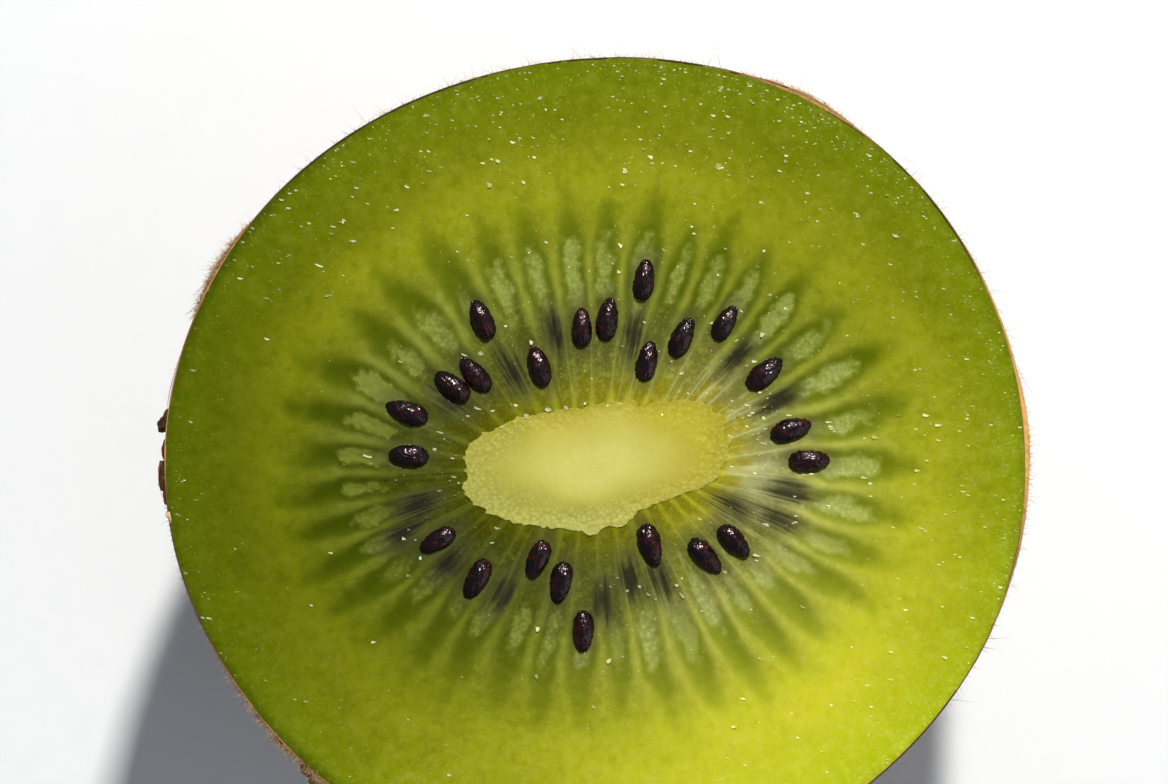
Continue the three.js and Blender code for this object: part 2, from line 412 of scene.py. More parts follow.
def start_material(name, attributes=(), patterns=None):
    """An empty material, its tree, and by name the values it can be drawn from.

    These are the coordinates of the piece it is on as place, the piece's attributes, and the patterns,
    each as (kind, real size of what it draws, levels of finer detail). A pattern's scale is 1 / size.
    """
    material = bpy.data.materials.new(name)
    material.use_nodes = True
    tree = material.node_tree
    tree.nodes.clear()
    place = add_node(tree, "ShaderNodeTexCoord").outputs["Object"]
    sources = {"place": place}
    for field in attributes:
        sources[field] = add_node(tree, "ShaderNodeAttribute", attribute_name=field).outputs["Fac"]
    for pattern, ((kind, output), size, detail) in (patterns or {}).items():
        inputs = {"Vector": place, "Scale": 1 / size, "Detail": detail}
        sources[pattern] = add_node(tree, kind, inputs).outputs[output]
    return material, tree, sources


def layered(tree, base, sources, layers):
    """Lays colours over a base.

    Each layer is (name of a source, low, high, most, colour): its strength rises from 0 where the source
    is at low to most where the source is at high.
    """
    for source, low, high, most, colour in layers:
        span = {"Value": sources[source], "From Min": low, "From Max": high, "To Max": most}
        strength = add_node(tree, "ShaderNodeMapRange", span).outputs["Result"]
        colour = linear(colour) if isinstance(colour, str) else tuple(colour)
        laid = {MIX_PART: strength, FIRST_COLOUR: base, SECOND_COLOUR: colour}
        base = add_node(tree, "ShaderNodeMix", laid, data_type="RGBA").outputs[MIXED_COLOUR]
    return base


def finish_material(tree, base, bump=None, **finish):
    """Ends a tree with the main shader, roughened by a bump of (height, strength, distance)."""
    inputs = {name.replace("_", " ").title().replace("Ior", "IOR"): value for name, value in finish.items()}
    inputs["Base Color"] = base
    if bump:
        raised = dict(zip(("Height", "Strength", "Distance"), bump))
        inputs["Normal"] = add_node(tree, "ShaderNodeBump", raised).outputs["Normal"]
    shader = add_node(tree, "ShaderNodeBsdfPrincipled", inputs)
    add_node(tree, "ShaderNodeOutputMaterial", {"Surface": shader.outputs["BSDF"]})


# ---------------------------------------------------------------------------------------------------
# The pattern of the cut face. A span is where a mask starts to fade in or out and where that is done,
# and two spans together are one to fade in over and one to fade out over. Those that are called a
# SPAN, START or END are shares, and those called SIDES are parts of the way from the middle of a
# locule to its septum. Textures are (size of a lump, octaves, seed) and strands are (lumps to a
# locule, lumps to a share, seed). What varies round the cut is a table of bells as (degrees from the
# +X side, size, half width in degrees) or, where its name ends in SWING, a table of waves.

LOCULE_SEED = 4
LOCULE_RANGES = (
    (0.96, 1.14),  # the share where a locule's flame of gel ends
    (0.42, 0.6),  # how much of its width the pulp takes
    (0.57, 0.63),  # the share of the pulp's middle
    (0.12, 0.168),  # the pulp's half length, as a share
    (0.4, 0.75),  # how pale the pulp is
    (0.05, 0.15),  # the share that the notch by the core runs out to
)
PULP_SWING = [(1, 0.07, 20)]
PULP_SHIFT = [(310, -0.17, 26), (252, -0.07, 10)]
PULP_LENGTH_SWING = [(1, 0.03, 45)]
PULP_PALE = [(50, 0.4, 35), (108, 0.3, 20), (165, 0.6, 40), (240, 0.28, 30), (322, 0.1, 25)]
PULP_POWER = 2.2
PULP_RAGGED = (0.2, 0.35)  # how far the grain and the lumps move its edge
PULP_EDGE = (0.55, 1.2)

CUT_GRAIN = (0.3 * MM, 2, 8)
CUT_LUMPS = (0.8 * MM, 1, 12)
EDGE_BLUR = 0.1  # how far the lumps move the edges of walls and notches

WALL_WOBBLE = 0.12  # of a locule
WOBBLE_PACE = (3.2, 0.8)  # lumps to a share and to a locule
WOBBLE_START = 5  # sets the wobble apart from the other patterns
WOBBLE_SEED = 1
WOBBLE_SPAN = (0.1, 0.6)
WALL_SIDES = (0.5, 0.95)
WALL_SPAN = (0.3, 0.55), (0.62, 0.95)
FAINT_WALL = [(262, 0.4, 32), (322, 0.6, 32)]
MILKY_WALL = [(165, 1.0, 48)]
MILKY_WALL_END = (0.6, 0.85)
MILKY_INNER = [(164, 0.8, 16), (200, 0.2, 25), (262, 0.25, 35), (352, 0.85, 12)]
MILKY_INNER_SPAN = (0.0, 0.08), (0.22, 0.42)
MILKY_STREAKED = (0.75, 0.5)  # its strength, and how much of it comes and goes with the streaks

FLAME_WIDTH = 0.95
FLAME_POWERS = (1.8, 1.2)
FLAME_RAGGED = 0.12
FLAME_EDGE = (0.3, 1.1)
GEL_START = (0.4, 0.58)
FAINT_GEL = [(262, 0.42, 38), (325, 0.34, 30), (135, 0.15, 25), (95, 0.2, 20)]

HOLLOW_SIDES = (0.3, 0.95)
HOLLOW_SPAN = (0.04, 0.2), (0.45, 0.6)
PALE_HOLLOW = [(0, 0.35, 35)]
NOTCH_SIDES = (0.45, 0.9)
NOTCH_BLUR = 0.02
NOTCH_END = (-0.02, 0.05)  # from the share drawn for the locule

FIBRES = (5, 1.8, 3)
FIBRE_SHARPNESS = 4.5
FIBRE_EDGE = (0.1, 1)
FIBRE_THINNING = (3, 1, 6)
FIBRE_KEPT = (-0.5, 0.3)
FIBRE_IN_WALL = 0.8
SEPTUM_SIDES = (0.86, 0.97)
FIBRE_SPAN = (0, 0.04), (0.3, 0.6)
STREAKS = (14, 3, 5)
SPECKS = (0.25 * MM, 1, 14)
SPECK_EDGE = (0.4, 0.8)
SPECK_CLUSTERS = (-0.3, 0.4)
SPECK_SPAN = (0.08, 0.2), (0.45, 0.6)
SPECK_PALENESS = 0.6

# In half sizes of a seed: how seeds under the surface fade out, the painted shade round every seed, and the
# ring round each one that shows in which the flesh sinks. Then a dark fleck at one septum.
BURIED_BLUR = (0.12, 0.5)  # how far the grain and the streaks move their edge
BURIED_EDGE = (0.3, 1.3)
BURIED_BEHIND_FIBRE = 0.35
PALE_BURIED = [(351, 0.5, 13)]
SEED_SHADE_BLUR = 0.15
SEED_SHADE_EDGE = (0.9, 2.1)
MOAT_RADIUS = 1.05
MOAT_WIDTH = 0.15
DARK_FLECK = (28.47, 1.05)
FLECK_EDGE = (0.05 * MM, 0.13 * MM)

# Natural logs of the light and shade painted into the flesh's colour. Bands are (share, size, half width).
PAINTED_LIGHT_WAVE = 0.62
PAINTED_LIGHT_BANDS = [(0.2, 0.24, 0.28), (1.0, -0.2, 0.28)]
PAINTED_LIGHT_PEAK = (22, -42, 1.6)  # degrees at the core, degrees more to each share, and up to which share
PAINTED_LIGHT_TWICE = 0.3
PAINTED_LIGHT_TWICE_PEAK = (-80, -45, 1.3)
PAINTED_LIGHT_TWICE_SPAN = (0.2, 0.5)
# Bells of painted light and shade at the rim, in the pulp and by the seeds.
RIM_TONE = [(143, -0.4, 22), (225, -0.4, 20), (0, -0.15, 20), (315, 0.22, 20)]
RIM_SPAN = (1.88, 1.99)
PULP_TONE = [
    (210, 0.3, 32), (160, 0.06, 24), (275, 0.12, 25), (321, -0.14, 27), (0, 0.08, 22), (56, -0.17, 27),
]
PULP_BAND = (0.64, 0.23)
INNER_TONE = [(322, -0.2, 22), (214, -0.3, 22), (95, -0.25, 22), (55, -0.06, 20)]
INNER_BAND = (0.34, 0.13)
TONE_RANGE = 0.9
TONE_POWERS = np.array([1.07, 0.96, 1.9])  # how strongly red, green and blue follow the tone
TONE_STOPS = 7

# The relief of the cut, as heights, or as a height and the span over which it grows.
UNDER_CORE = 0.1  # share by which the flesh runs in under the core
UNDER_CORE_DROP = (0.35 * MM, (0.02, 0.07))
SINK_SPAN = (0, 0.25), (0.75, 1.25)
SINK_BREADTH = (0.6 * MM, 2 * MM)  # a locule narrower than this is level
PULP_RISE = 0.04 * MM
FIBRE_RISE = 0.008 * MM
WALL_RISE = 0.012 * MM
NOTCH_DROP = 0.015 * MM
MOAT_DROP = 0.03 * MM
OUTER_SWELL = (2.4 * MM, 1, 21)
OUTER_SWELL_RISE = (0.05 * MM, (0.9, 1.4))
CUT_TOOTH = (0.45 * MM, 2, 31)
CUT_TOOTH_RISE = 0.012 * MM
RIM_DROP = (0.03 * MM, (1.96, 2.0))
SPOKE_STEP = 0.1  # share over which the direction of a spoke is taken


def texture(points, lumps):
    """Rough noise over points, from the size of its lumps, its octaves and its seed."""
    size, octaves, seed = lumps
    return rough_noise(points / size, octaves, seed)


def strands(locule, share, lumps):
    """Noise along the spokes, from its lumps to a locule, its lumps to a share and its seed."""
    return noise(np.stack([lumps[0] * locule, lumps[1] * share], -1), lumps[2])


def between(value, span):
    """Fades in over the first part of a span and out over the second."""
    start, end = span
    return fade_in(value, start) * fade_out(value, end)


def seed_frame(locule, share):
    """Where a seed lies on the cut and the direction of its spoke there."""
    place = face_point(np.asarray(locule), np.asarray(share))
    outward = face_point(np.asarray(locule), np.asarray(share) + SPOKE_STEP) - place
    return place, unit(outward)


def seed_distances(points, seeds):
    """Distances of points on the cut from the middles of seeds, in a seed's own half sizes."""
    found = []
    for locule, share in seeds:
        place, outward = seed_frame(locule, share)
        along = (points - place) @ outward / SEED_HALF[1]
        across = (points - place) @ np.array([-outward[1], outward[0]]) / SEED_HALF[0]
        found.append(np.hypot(along, across))
    return np.array(found)


def ripeness(angle, share):
    """Natural log of the light and shade painted into the flesh's colour, against its mean.

    It is a wave once round the cut, stronger by the seeds and weaker outside them, and a fainter wave
    twice round. The peaks of both move on with the share. Bells round the cut add to them in the
    pulp, by the seeds and at the rim.
    """
    size = PAINTED_LIGHT_WAVE + sum(added * bell(share, middle, wide) for middle, added, wide in PAINTED_LIGHT_BANDS)
    once, twice = (
        count * angle - np.radians(start + turn * np.minimum(share, end))
        for count, (start, turn, end) in ((1, PAINTED_LIGHT_PEAK), (2, PAINTED_LIGHT_TWICE_PEAK))
    )
    tone = size * np.cos(once) + PAINTED_LIGHT_TWICE * np.cos(twice) * fade_in(share, PAINTED_LIGHT_TWICE_SPAN)
    tone += bumps(angle, RIM_TONE) * fade_in(share, RIM_SPAN)
    tone += bumps(angle, PULP_TONE) * bell(share, *PULP_BAND)
    return tone + bumps(angle, INNER_TONE) * bell(share, *INNER_BAND)


def locule_forms():
    """What differs from locule to locule: values drawn in a range, and swung round the cut."""
    draw = np.random.default_rng(LOCULE_SEED)
    tip, width, middle, length, paleness, gap = (
        low + (high - low) * draw.random(LOCULES) for low, high in LOCULE_RANGES
    )
    angle = spoke_angle(np.arange(LOCULES))
    middle += waves(angle, PULP_SWING)
    patch = middle + bumps(angle, PULP_SHIFT)
    length += waves(angle, PULP_LENGTH_SWING)
    paleness += bumps(angle, PULP_PALE)
    return tip, width, middle, patch, length, paleness, gap


def cut_pattern(locule, share):
    """Points of the cut face, the height of its relief there and masks from 0 to 1.

    u is the way from the middle of a locule to its septum and v the share from a middle. A patch of
    pulp lies in the outer half of each locule: the superellipse rho < 1 with
    rho^2.2 = (u / width)^2.2 + (v / length)^2.2. Clear green gel lies round its outer end, in a flame
    (u / 0.95)^1.8 + (v / reach)^1.2 < 1. Seeds under the surface darken it within their own outlines.
    The juicy locules lie (1 + cos(pi u)) / 2 of their depth below the septa.
    """
    points = face_point(locule, share)
    angle = spoke_angle(locule)
    inside = core_share(locule) - share
    grain = texture(points, CUT_GRAIN)
    lump = texture(points, CUT_LUMPS)
    blur = EDGE_BLUR * lump
    places = np.stack([WOBBLE_PACE[0] * share + WOBBLE_START, WOBBLE_PACE[1] * locule], -1)
    swung = locule + WALL_WOBBLE * noise(places, WOBBLE_SEED) * fade_in(share, WOBBLE_SPAN)
    streak = strands(swung, share, STREAKS)
    number = np.round(swung).astype(int) % LOCULES
    across = 2 * np.abs(swung - np.round(swung))
    tip, width, middle, patch, length, paleness, gap = (form[number] for form in locule_forms())

    off = np.abs(share - patch) / length
    rho = ((across / width) ** PULP_POWER + off**PULP_POWER) ** (1 / PULP_POWER)
    pulp = fade_out(rho + PULP_RAGGED[0] * grain + PULP_RAGGED[1] * lump, PULP_EDGE) * paleness
    reached = np.maximum(share - middle, 0) / (tip - middle)
    flame = (across / FLAME_WIDTH) ** FLAME_POWERS[0] + reached ** FLAME_POWERS[1] + FLAME_RAGGED * lump
    gel = fade_in(share, GEL_START) * fade_out(flame, FLAME_EDGE) * np.clip(1 - pulp, 0, 1)
    hollow = fade_out(across, HOLLOW_SIDES) * between(share, HOLLOW_SPAN)
    wall = fade_in(across + blur, WALL_SIDES) * fade_in(share, WALL_SPAN[0])
    wall = wall * fade_out(share + blur, WALL_SPAN[1])
    milk = wall * bumps(angle, MILKY_WALL) * fade_out(share, MILKY_WALL_END)
    streaked = MILKY_STREAKED[0] + MILKY_STREAKED[1] * streak
    milk = milk + bumps(angle, MILKY_INNER) * streaked * between(share, MILKY_INNER_SPAN)
    wall = wall * (1 - bumps(angle, FAINT_WALL))
    # The notches by the core sink a little and are painted darker as shade under the core's edge.
    notch_end = gap + NOTCH_END[0], gap + NOTCH_END[1]
    notch = fade_out(across + blur, NOTCH_SIDES) * fade_out(-inside + NOTCH_BLUR * lump, notch_end)

    thread = fade_in(1 - np.abs(strands(swung, share, FIBRES)) * FIBRE_SHARPNESS, FIBRE_EDGE)
    thread = thread * fade_in(strands(swung, share, FIBRE_THINNING), FIBRE_KEPT)
    fibre = np.maximum(thread, FIBRE_IN_WALL * fade_in(across, SEPTUM_SIDES)) * between(share, FIBRE_SPAN)
    speck = fade_in(texture(points, SPECKS), SPECK_EDGE) * fade_in(lump, SPECK_CLUSTERS)
    speck = speck * between(share, SPECK_SPAN)

    shown, under = seed_distances(points, SEEDS), seed_distances(points, BURIED_SEEDS)
    buried = fade_out(under.min(0) + BURIED_BLUR[0] * grain + BURIED_BLUR[1] * streak, BURIED_EDGE)
    buried = buried * (1 - BURIED_BEHIND_FIBRE * fibre)
    buried = buried * (1 - bumps(angle, PALE_BURIED) * (1 + streak) / 2)
    fleck = fade_out(np.linalg.norm(points - face_point(*DARK_FLECK), axis=-1), FLECK_EDGE)
    nearest = np.minimum(shown.min(0), under.min(0))
    moat = bell(np.abs(shown - MOAT_RADIUS).min(0), 0, MOAT_WIDTH)
    masks = {
        "share": share / 2,
        "hollow": hollow * (1 - bumps(angle, PALE_HOLLOW)),
        "pulp": np.maximum(pulp, SPECK_PALENESS * speck),
        "gel": gel * (1 - bumps(angle, FAINT_GEL)),
        "wall": wall,
        "milk": milk,
        "fibre": fibre,
        "buried": np.maximum(buried, fleck),
        # Painted shade round every seed, shown and buried.
        "seed_shade": fade_out(nearest + SEED_SHADE_BLUR * lump, SEED_SHADE_EDGE),
        "notch": notch,
        # Light and shade painted into the flesh's colour, from the deepest painted shade at 0 to the
        # brightest painted light at 1.
        "ripe": (1 + ripeness(angle, share) / TONE_RANGE) / 2,
    }

    breadth = np.linalg.norm(face_point(locule + 0.5, share) - face_point(locule - 0.5, share), axis=-1)
    sink = bpy.context.scene.kiwi_sizes.locule_sink * between(share, SINK_SPAN)
    relief = -sink * fade_in(breadth, SINK_BREADTH) * (1 + np.cos(np.pi * across)) / 2
    relief += PULP_RISE * pulp * (1 + grain) + FIBRE_RISE * fibre + WALL_RISE * wall
    relief += OUTER_SWELL_RISE[0] * texture(points, OUTER_SWELL) * fade_in(share, OUTER_SWELL_RISE[1])
    relief += CUT_TOOTH_RISE * texture(points, CUT_TOOTH)
    relief -= NOTCH_DROP * notch + MOAT_DROP * moat
    relief -= RIM_DROP[0] * fade_in(share, RIM_DROP[1])
    relief -= UNDER_CORE_DROP[0] * fade_in(inside, UNDER_CORE_DROP[1])
    return points, relief, masks


# ---------------------------------------------------------------------------------------------------
# Materials. The size of each pattern is the real size of what it draws.

FLESH_ROUGHNESS = 0.2  # a film of juice over the cells
JUICE_ROUGHNESS = 0.3  # beads, broken up by what floats in them
FLESH_FIELDS = ("share", "hollow", "pulp", "gel", "wall", "milk", "fibre", "buried", "seed_shade", "notch", "ripe")
FLESH_PATTERNS = {
    "mottle": (NOISE, 4 * MM, 4.0),  # patches of riper flesh
    "grain": (NOISE, 0.6 * MM, 3.0),  # the large cells between the small ones
    "cuts": (CELLS, 0.32 * MM, 0.0),  # small cells that the knife opened, drawn twice as wide to show; their pale middles are painted glints
    "beads": (CELLS, 0.24 * MM, 0.0),  # the pulp's cells full of juice, drawn twice as wide to show
}
RAY_RADIUS = 16.5 * MM  # where the lines that run out from the core are as wide as given here
RAY_WIDTHS = {"rays": 0.275 * MM, "threads": 0.075 * MM}  # bundles of vessels, and single ones
RAY_PACE = 12.0  # change with the radius in metres: lines five times as long as they are wide
RAY_DETAIL = 3.0
EVENED = (0.6, 0.95, 0.55)  # patterns fade where the painted light is brightest: from which level of it, to which, how far
# Colours from the core to the skin, as (half the share, colour), its two ends first.
OUTER_COLOURS = [
    (0.0, "#dccf3a"), (1.0, "#a8ae0c"), (0.05, "#a0963c"), (0.12, "#8c8550"), (0.2, "#a19c5c"),
    (0.36, "#bab848"), (0.5, "#e6e238"), (0.6, "pericarp"), (0.7, "#d4d22a"), (0.8, "#ccce20"),
    (0.9, "#c4cc18"), (0.96, "#bac812"),
]


def tone_stops():
    """Multipliers from the deepest painted shade to the brightest painted light: each channel is exp(power
    (tone - range)).
    """
    tones = np.linspace(-TONE_RANGE, TONE_RANGE, TONE_STOPS)
    stops = [
        ((tone / TONE_RANGE + 1) / 2, (*np.exp(TONE_POWERS * (tone - TONE_RANGE)), 1.0)) for tone in tones
    ]
    return [stops[0], stops[-1], *stops[1:-1]]


def flesh_material(name, colours, roughness, tooth):
    """Flesh of a green kiwi fruit, cut across with a knife and wet with its own juice.

    The eye gets clear green gel, pale pulp, painted shade round the dark seeds and painted specks of light on
    cut cells, greener towards the skin, with light and shade painted across the cut, under an even low gloss.
    tooth is 1 for the bare cut, with the grain of its cells, and 0 for beads of clear juice, which are smooth
    and show the flesh under them.
    """
    material, tree, source = start_material(name, FLESH_FIELDS, FLESH_PATTERNS)

    # Lines that run out from the core: noise over the direction, drawn out along the radius.
    direction, radius = (
        add_node(tree, "ShaderNodeVectorMath", {0: source["place"]}, operation=operation).outputs[output]
        for operation, output in (("NORMALIZE", "Vector"), ("LENGTH", "Value"))
    )
    pacing = {0: radius, 1: RAY_PACE}
    stretched = add_node(tree, "ShaderNodeMath", pacing, operation="MULTIPLY").outputs["Value"]
    for line, width in RAY_WIDTHS.items():
        inputs = {"Vector": direction, "W": stretched, "Scale": RAY_RADIUS / width, "Detail": RAY_DETAIL}
        source[line] = add_node(tree, "ShaderNodeTexNoise", inputs, noise_dimensions="4D").outputs["Fac"]

    painted_light_from, painted_light_to, most = EVENED
    evening = {"Value": source["ripe"], "From Min": painted_light_from, "From Max": painted_light_to, "To Max": most}
    even = add_node(tree, "ShaderNodeMapRange", evening).outputs["Result"]
    # Cells show where a mask less a part of the distance from their middle is high.
    for pattern, cells, part, mask in (
        ("pepper", "cuts", 0.35, "share"),
        ("beading", "beads", 1.0, "pulp"),
    ):
        inputs = {0: source[cells], 1: -part, 2: source[mask]}
        source[pattern] = add_node(tree, "ShaderNodeMath", inputs, operation="MULTIPLY_ADD").outputs["Value"]
    for pattern in ("rays", "threads", "mottle", "grain", "cuts", "beading"):
        evened = 0.0 if pattern == "beading" else 0.5
        mixing = {MIX_PART: even, FIRST_NUMBER: source[pattern], SECOND_NUMBER: evened}
        source[pattern] = add_node(tree, "ShaderNodeMix", mixing).outputs[MIXED_NUMBER]

    stops = [
        (at, tuple(colours.pericarp) if colour == "pericarp" else linear(colour))
        for at, colour in OUTER_COLOURS
    ]
    outer = add_node(tree, "ShaderNodeValToRGB", {"Fac": source["share"]}, stops).outputs["Color"]
    layers = [
        ("hollow", 0, 1, 0.9, "#7f7848"),
        ("wall", 0, 1, 0.75, colours.septum),
        ("milk", 0, 1, 0.55, "#eeefc4"),
        # Painted shade in the notches under the core's edge.
        ("notch", 0, 1, 0.8, "#a08c10"),
        ("mottle", 0.42, 0.7, 0.42, "#b0b40c"),
        ("rays", 0.5, 0.7, 0.35, "#f2ee74"),
        ("rays", 0.48, 0.3, 0.3, "#a6aa10"),
        ("threads", 0.48, 0.68, 0.22, "#f4f08c"),
        ("grain", 0.47, 0.3, 0.25, "#98a00a"),
        # Painted glints: pale middles of cut cells, and pale dots that grow thicker towards the rim.
        ("cuts", 0.22, 0.09, 0.38, "#fbfbb4"),
        ("pepper", 0.78, 0.96, 0.3, "#e8ec60"),
        ("gel", 0, 1, 0.92, colours.gel),
        ("pulp", 0, 1, 0.6, "#d0d78e"),
        ("beading", 0.1, 0.6, 0.62, "#f0f3bc"),
        ("fibre", 0, 1, 0.5, "#dfe0a4"),
    ]
    flesh = layered(tree, outer, source, layers)
    # The painted light and shade, as multipliers of the flesh's colour.
    tone = add_node(tree, "ShaderNodeValToRGB", {"Fac": source["ripe"]}, tone_stops()).outputs["Color"]
    toning = {MIX_PART: 1.0, FIRST_COLOUR: flesh, SECOND_COLOUR: tone}
    toned = add_node(tree, "ShaderNodeMix", toning, data_type="RGBA", blend_type="MULTIPLY")
    # Painted shade round the seeds, then the dark of the seeds under the surface.
    layers = [("seed_shade", 0, 1, 0.45, "#514f30"), ("buried", 0, 1, 0.85, "#211c1c")]
    finish_material(
        tree,
        layered(tree, toned.outputs[MIXED_COLOUR], source, layers),
        (source["grain"], 0.6 * tooth, 0.04 * MM),  # how far cut cells stand out
        roughness=roughness,
        ior=1.33,  # juice, mostly water
        specular_ior_level=0.5 - 0.25 * tooth,
        specular_tint=linear("#f8f8d4"),
        subsurface_weight=0.12,
        subsurface_radius=(1.0, 0.9, 0.25),
        subsurface_scale=0.3 * MM,
    )
    return material


def core_material(colours):
    """Core of a kiwi fruit, cut across with a knife: dense, fibrous and moist rather than wet.

    The eye gets an even pale cream under a soft broad gloss, yellower and beaded with cells at the edge.
    """
    fields = ("edge", "ripe", "green", "crumbs", "faded")
    patterns = {
        "mottle": (NOISE, 2.4 * MM, 4.0),  # denser and looser parts
        "cells": (CELLS, 0.24 * MM, 0.0),  # cells at the edge, drawn twice as wide to show
    }
    material, tree, source = start_material("kiwi_core_moist", fields, patterns)
    inputs = {0: source["cells"], 1: -1.0, 2: source["crumbs"]}
    source["bead"] = add_node(tree, "ShaderNodeMath", inputs, operation="MULTIPLY_ADD").outputs["Value"]
    layers = [
        ("edge", 0.2, 0.8, 0.9, "#b9ac34"),
        ("green", 0, 1, 0.75, "#9a9c46"),
        # In the core this field is its own deeper yellow towards the upper right of its edge; in the flesh
        # the same field is painted light and shade.
        ("ripe", 0, 1, 0.9, "#b8ac10"),
        ("mottle", 0.45, 0.7, 0.25, "#cdc555"),
        ("cells", 0.2, 0.7, 0.13, "#b4ab4a"),
        ("faded", 0, 1, 0.85, "#a0951c"),
        ("bead", -0.1, 0.6, 0.48, "#dedb84"),
    ]
    finish_material(
        tree,
        layered(tree, tuple(colours.core), source, layers),
        (source["cells"], source["crumbs"], -0.03 * MM),  # how far cells at the edge stand out
        roughness=0.36,
        ior=1.36,  # cell walls full of juice
        subsurface_weight=0.3,
        subsurface_radius=(1.0, 0.9, 0.4),
        subsurface_scale=0.8 * MM,
    )
    return material


def seed_material(colours):
    """Seed coat of a kiwi fruit, hard, grown with a net of fine ridges, and wet.

    The eye gets a nearly black aubergine with a reddish cast, painted shade in its pits, a sharp highlight
    and a broad faint one.
    """
    patterns = {
        "cast": (NOISE, 0.6 * MM, 3.0),  # redder patches
        "netting": (CELLS, 0.2 * MM, 0.0),  # meshes of the coat, drawn twice as wide to show
    }
    material, tree, source = start_material("seed_coat_wet", ("pit",), patterns)
    # The dark in the pits is painted shade.
    layers = [("cast", 0.46, 0.7, 0.9, "#4a1214"), ("pit", 0, 1, 0.7, "#080203")]
    finish_material(
        tree,
        layered(tree, tuple(colours.seed_coat), source, layers),
        (source["netting"], 0.8, 0.03 * MM),  # the ridges' height
        roughness=0.18,
        ior=1.55,  # wet waxy coat
        coat_weight=0.3,
        coat_roughness=0.36,
        specular_ior_level=0.38,
        specular_tint=linear("#ffdcdc"),
    )
    return material


def skin_material(colours):
    """Peel of a kiwi fruit, grown corky and dried in the air.

    The eye gets a matt tan brown with darker scurf and paler grit, pale where the peel lifts off and paler
    still on the right with painted light, painted shade just below the cut edge, dark along its cut edge and
    inside, with a faint bloom from down too short to be drawn.
    """
    patterns = {
        "patch": (NOISE, 5 * MM, 6.0),  # browner patches
        "scurf": (CELLS, 0.7 * MM, 0.0),  # flakes of scurf
        "grit": (NOISE, 0.35 * MM, 3.0),  # lenticels, drawn twice as wide to show
    }
    material, tree, source = start_material("kiwi_peel_dry", ("lip", "scar", "pale_peel_and_painted_light", "cut"), patterns)
    layers = [
        ("patch", 0.4, 0.66, 0.7, "#694822"),
        ("scurf", 0.45, 0.15, 0.5, "#4c3114"),
        ("grit", 0.5, 0.7, 0.4, "#b08a58"),
        # Painted shade just below the cut edge.
        ("cut", 0, 1, 0.8, "#4b3a14"),
        # Pale peel where it lifts off, and on the right also painted light on the lifted band.
        ("pale_peel_and_painted_light", 0, 1, 0.95, "#f0b66a"),
        ("scar", 0, 1, 0.85, "#5a4430"),
        ("lip", 0.2, 0.8, 0.95, "#38210c"),
    ]
    finish_material(
        tree,
        layered(tree, tuple(colours.skin), source, layers),
        (source["scurf"], 0.7, 0.06 * MM),  # the flakes' thickness
        roughness=0.8,
        sheen_weight=0.25,
        sheen_roughness=0.5,
        sheen_tint=linear("#d8b07c"),
    )
    return material


def scurf_material():
    """Scurf and shreds of kiwi peel, torn by the knife and dried.

    The eye gets a dull crumbly dark brown like cork, straw-coloured where a shred is thin.
    """
    patterns = {"patch": (NOISE, 0.4 * MM, 4.0)}  # crumbs of cork
    material, tree, source = start_material("kiwi_scurf_corky", ("pale",), patterns)
    layers = [
        ("pale", 0, 0.5, 1.0, "#7d4f28"),
        ("pale", 0.5, 1, 1.0, "#e3c090"),
        ("patch", 0.45, 0.7, 0.5, "#63421a"),
    ]
    finish_material(
        tree,
        layered(tree, linear("#38240a"), source, layers),
        (source["patch"], 0.8, 0.08 * MM),  # the crumbs' height
        roughness=0.75,
        specular_ior_level=0.2,
    )
    return material


def fuzz_material(colours):
    """Hair of a kiwi fruit, grown on the peel and dried up there.

    The eye gets a dull golden brown, paler at the fine tips, where the light comes through.
    """
    patterns = {"tint": (NOISE, 1.4 * MM, 2.0)}  # tufts of darker hairs
    material, tree, source = start_material("kiwi_fuzz_hair", ("tip",), patterns)
    layers = [("tint", 0.4, 0.65, 0.6, "#97693a"), ("tip", 0, 1, 0.7, "#e6c596")]
    base = layered(tree, tuple(colours.fuzz), source, layers)
    finish_material(tree, base, roughness=0.55, subsurface_weight=0.2, subsurface_scale=0.2 * MM)
    return material


def stage_material():
    """Board rolled with white emulsion paint: matt, with the faint mottle of the roller's nap."""
    patterns = {"tooth": (NOISE, 2 * MM, 2.0)}  # dabs of the nap
    material, tree, source = start_material("board_matt_white", (), patterns)
    base = layered(tree, linear("#fcfdfd"), source, [("tooth", 0.4, 0.7, 0.3, "#f8fafb")])
    finish_material(tree, base, roughness=0.9)
    return material


# ---------------------------------------------------------------------------------------------------
# Pieces

HEIGHT_BUNCHING = 1.6
STEPS_PER_LOCULE = 18
INNER_ROWS = 88
OUTER_SHARES = np.append(np.linspace(1, 1.985, 34), [1.996, 2])
FLESH_SIDE_ROWS = 7
FLESH_SHOULDER = 0.4 * MM  # how far below the cut the first row of its sides lies
FLESH_LAP = 0.6  # share of the skin's thickness that the flesh leaves bare
LAP_SPAN = (1.8, 2)
UNDER_CORE_MIDDLE = 1 * MM


def rising_heights(rows, top):
    """Heights from the resting end to the top, bunched near the end by a power."""
    return top * (np.arange(rows) / (rows - 1))[:, None] ** HEIGHT_BUNCHING


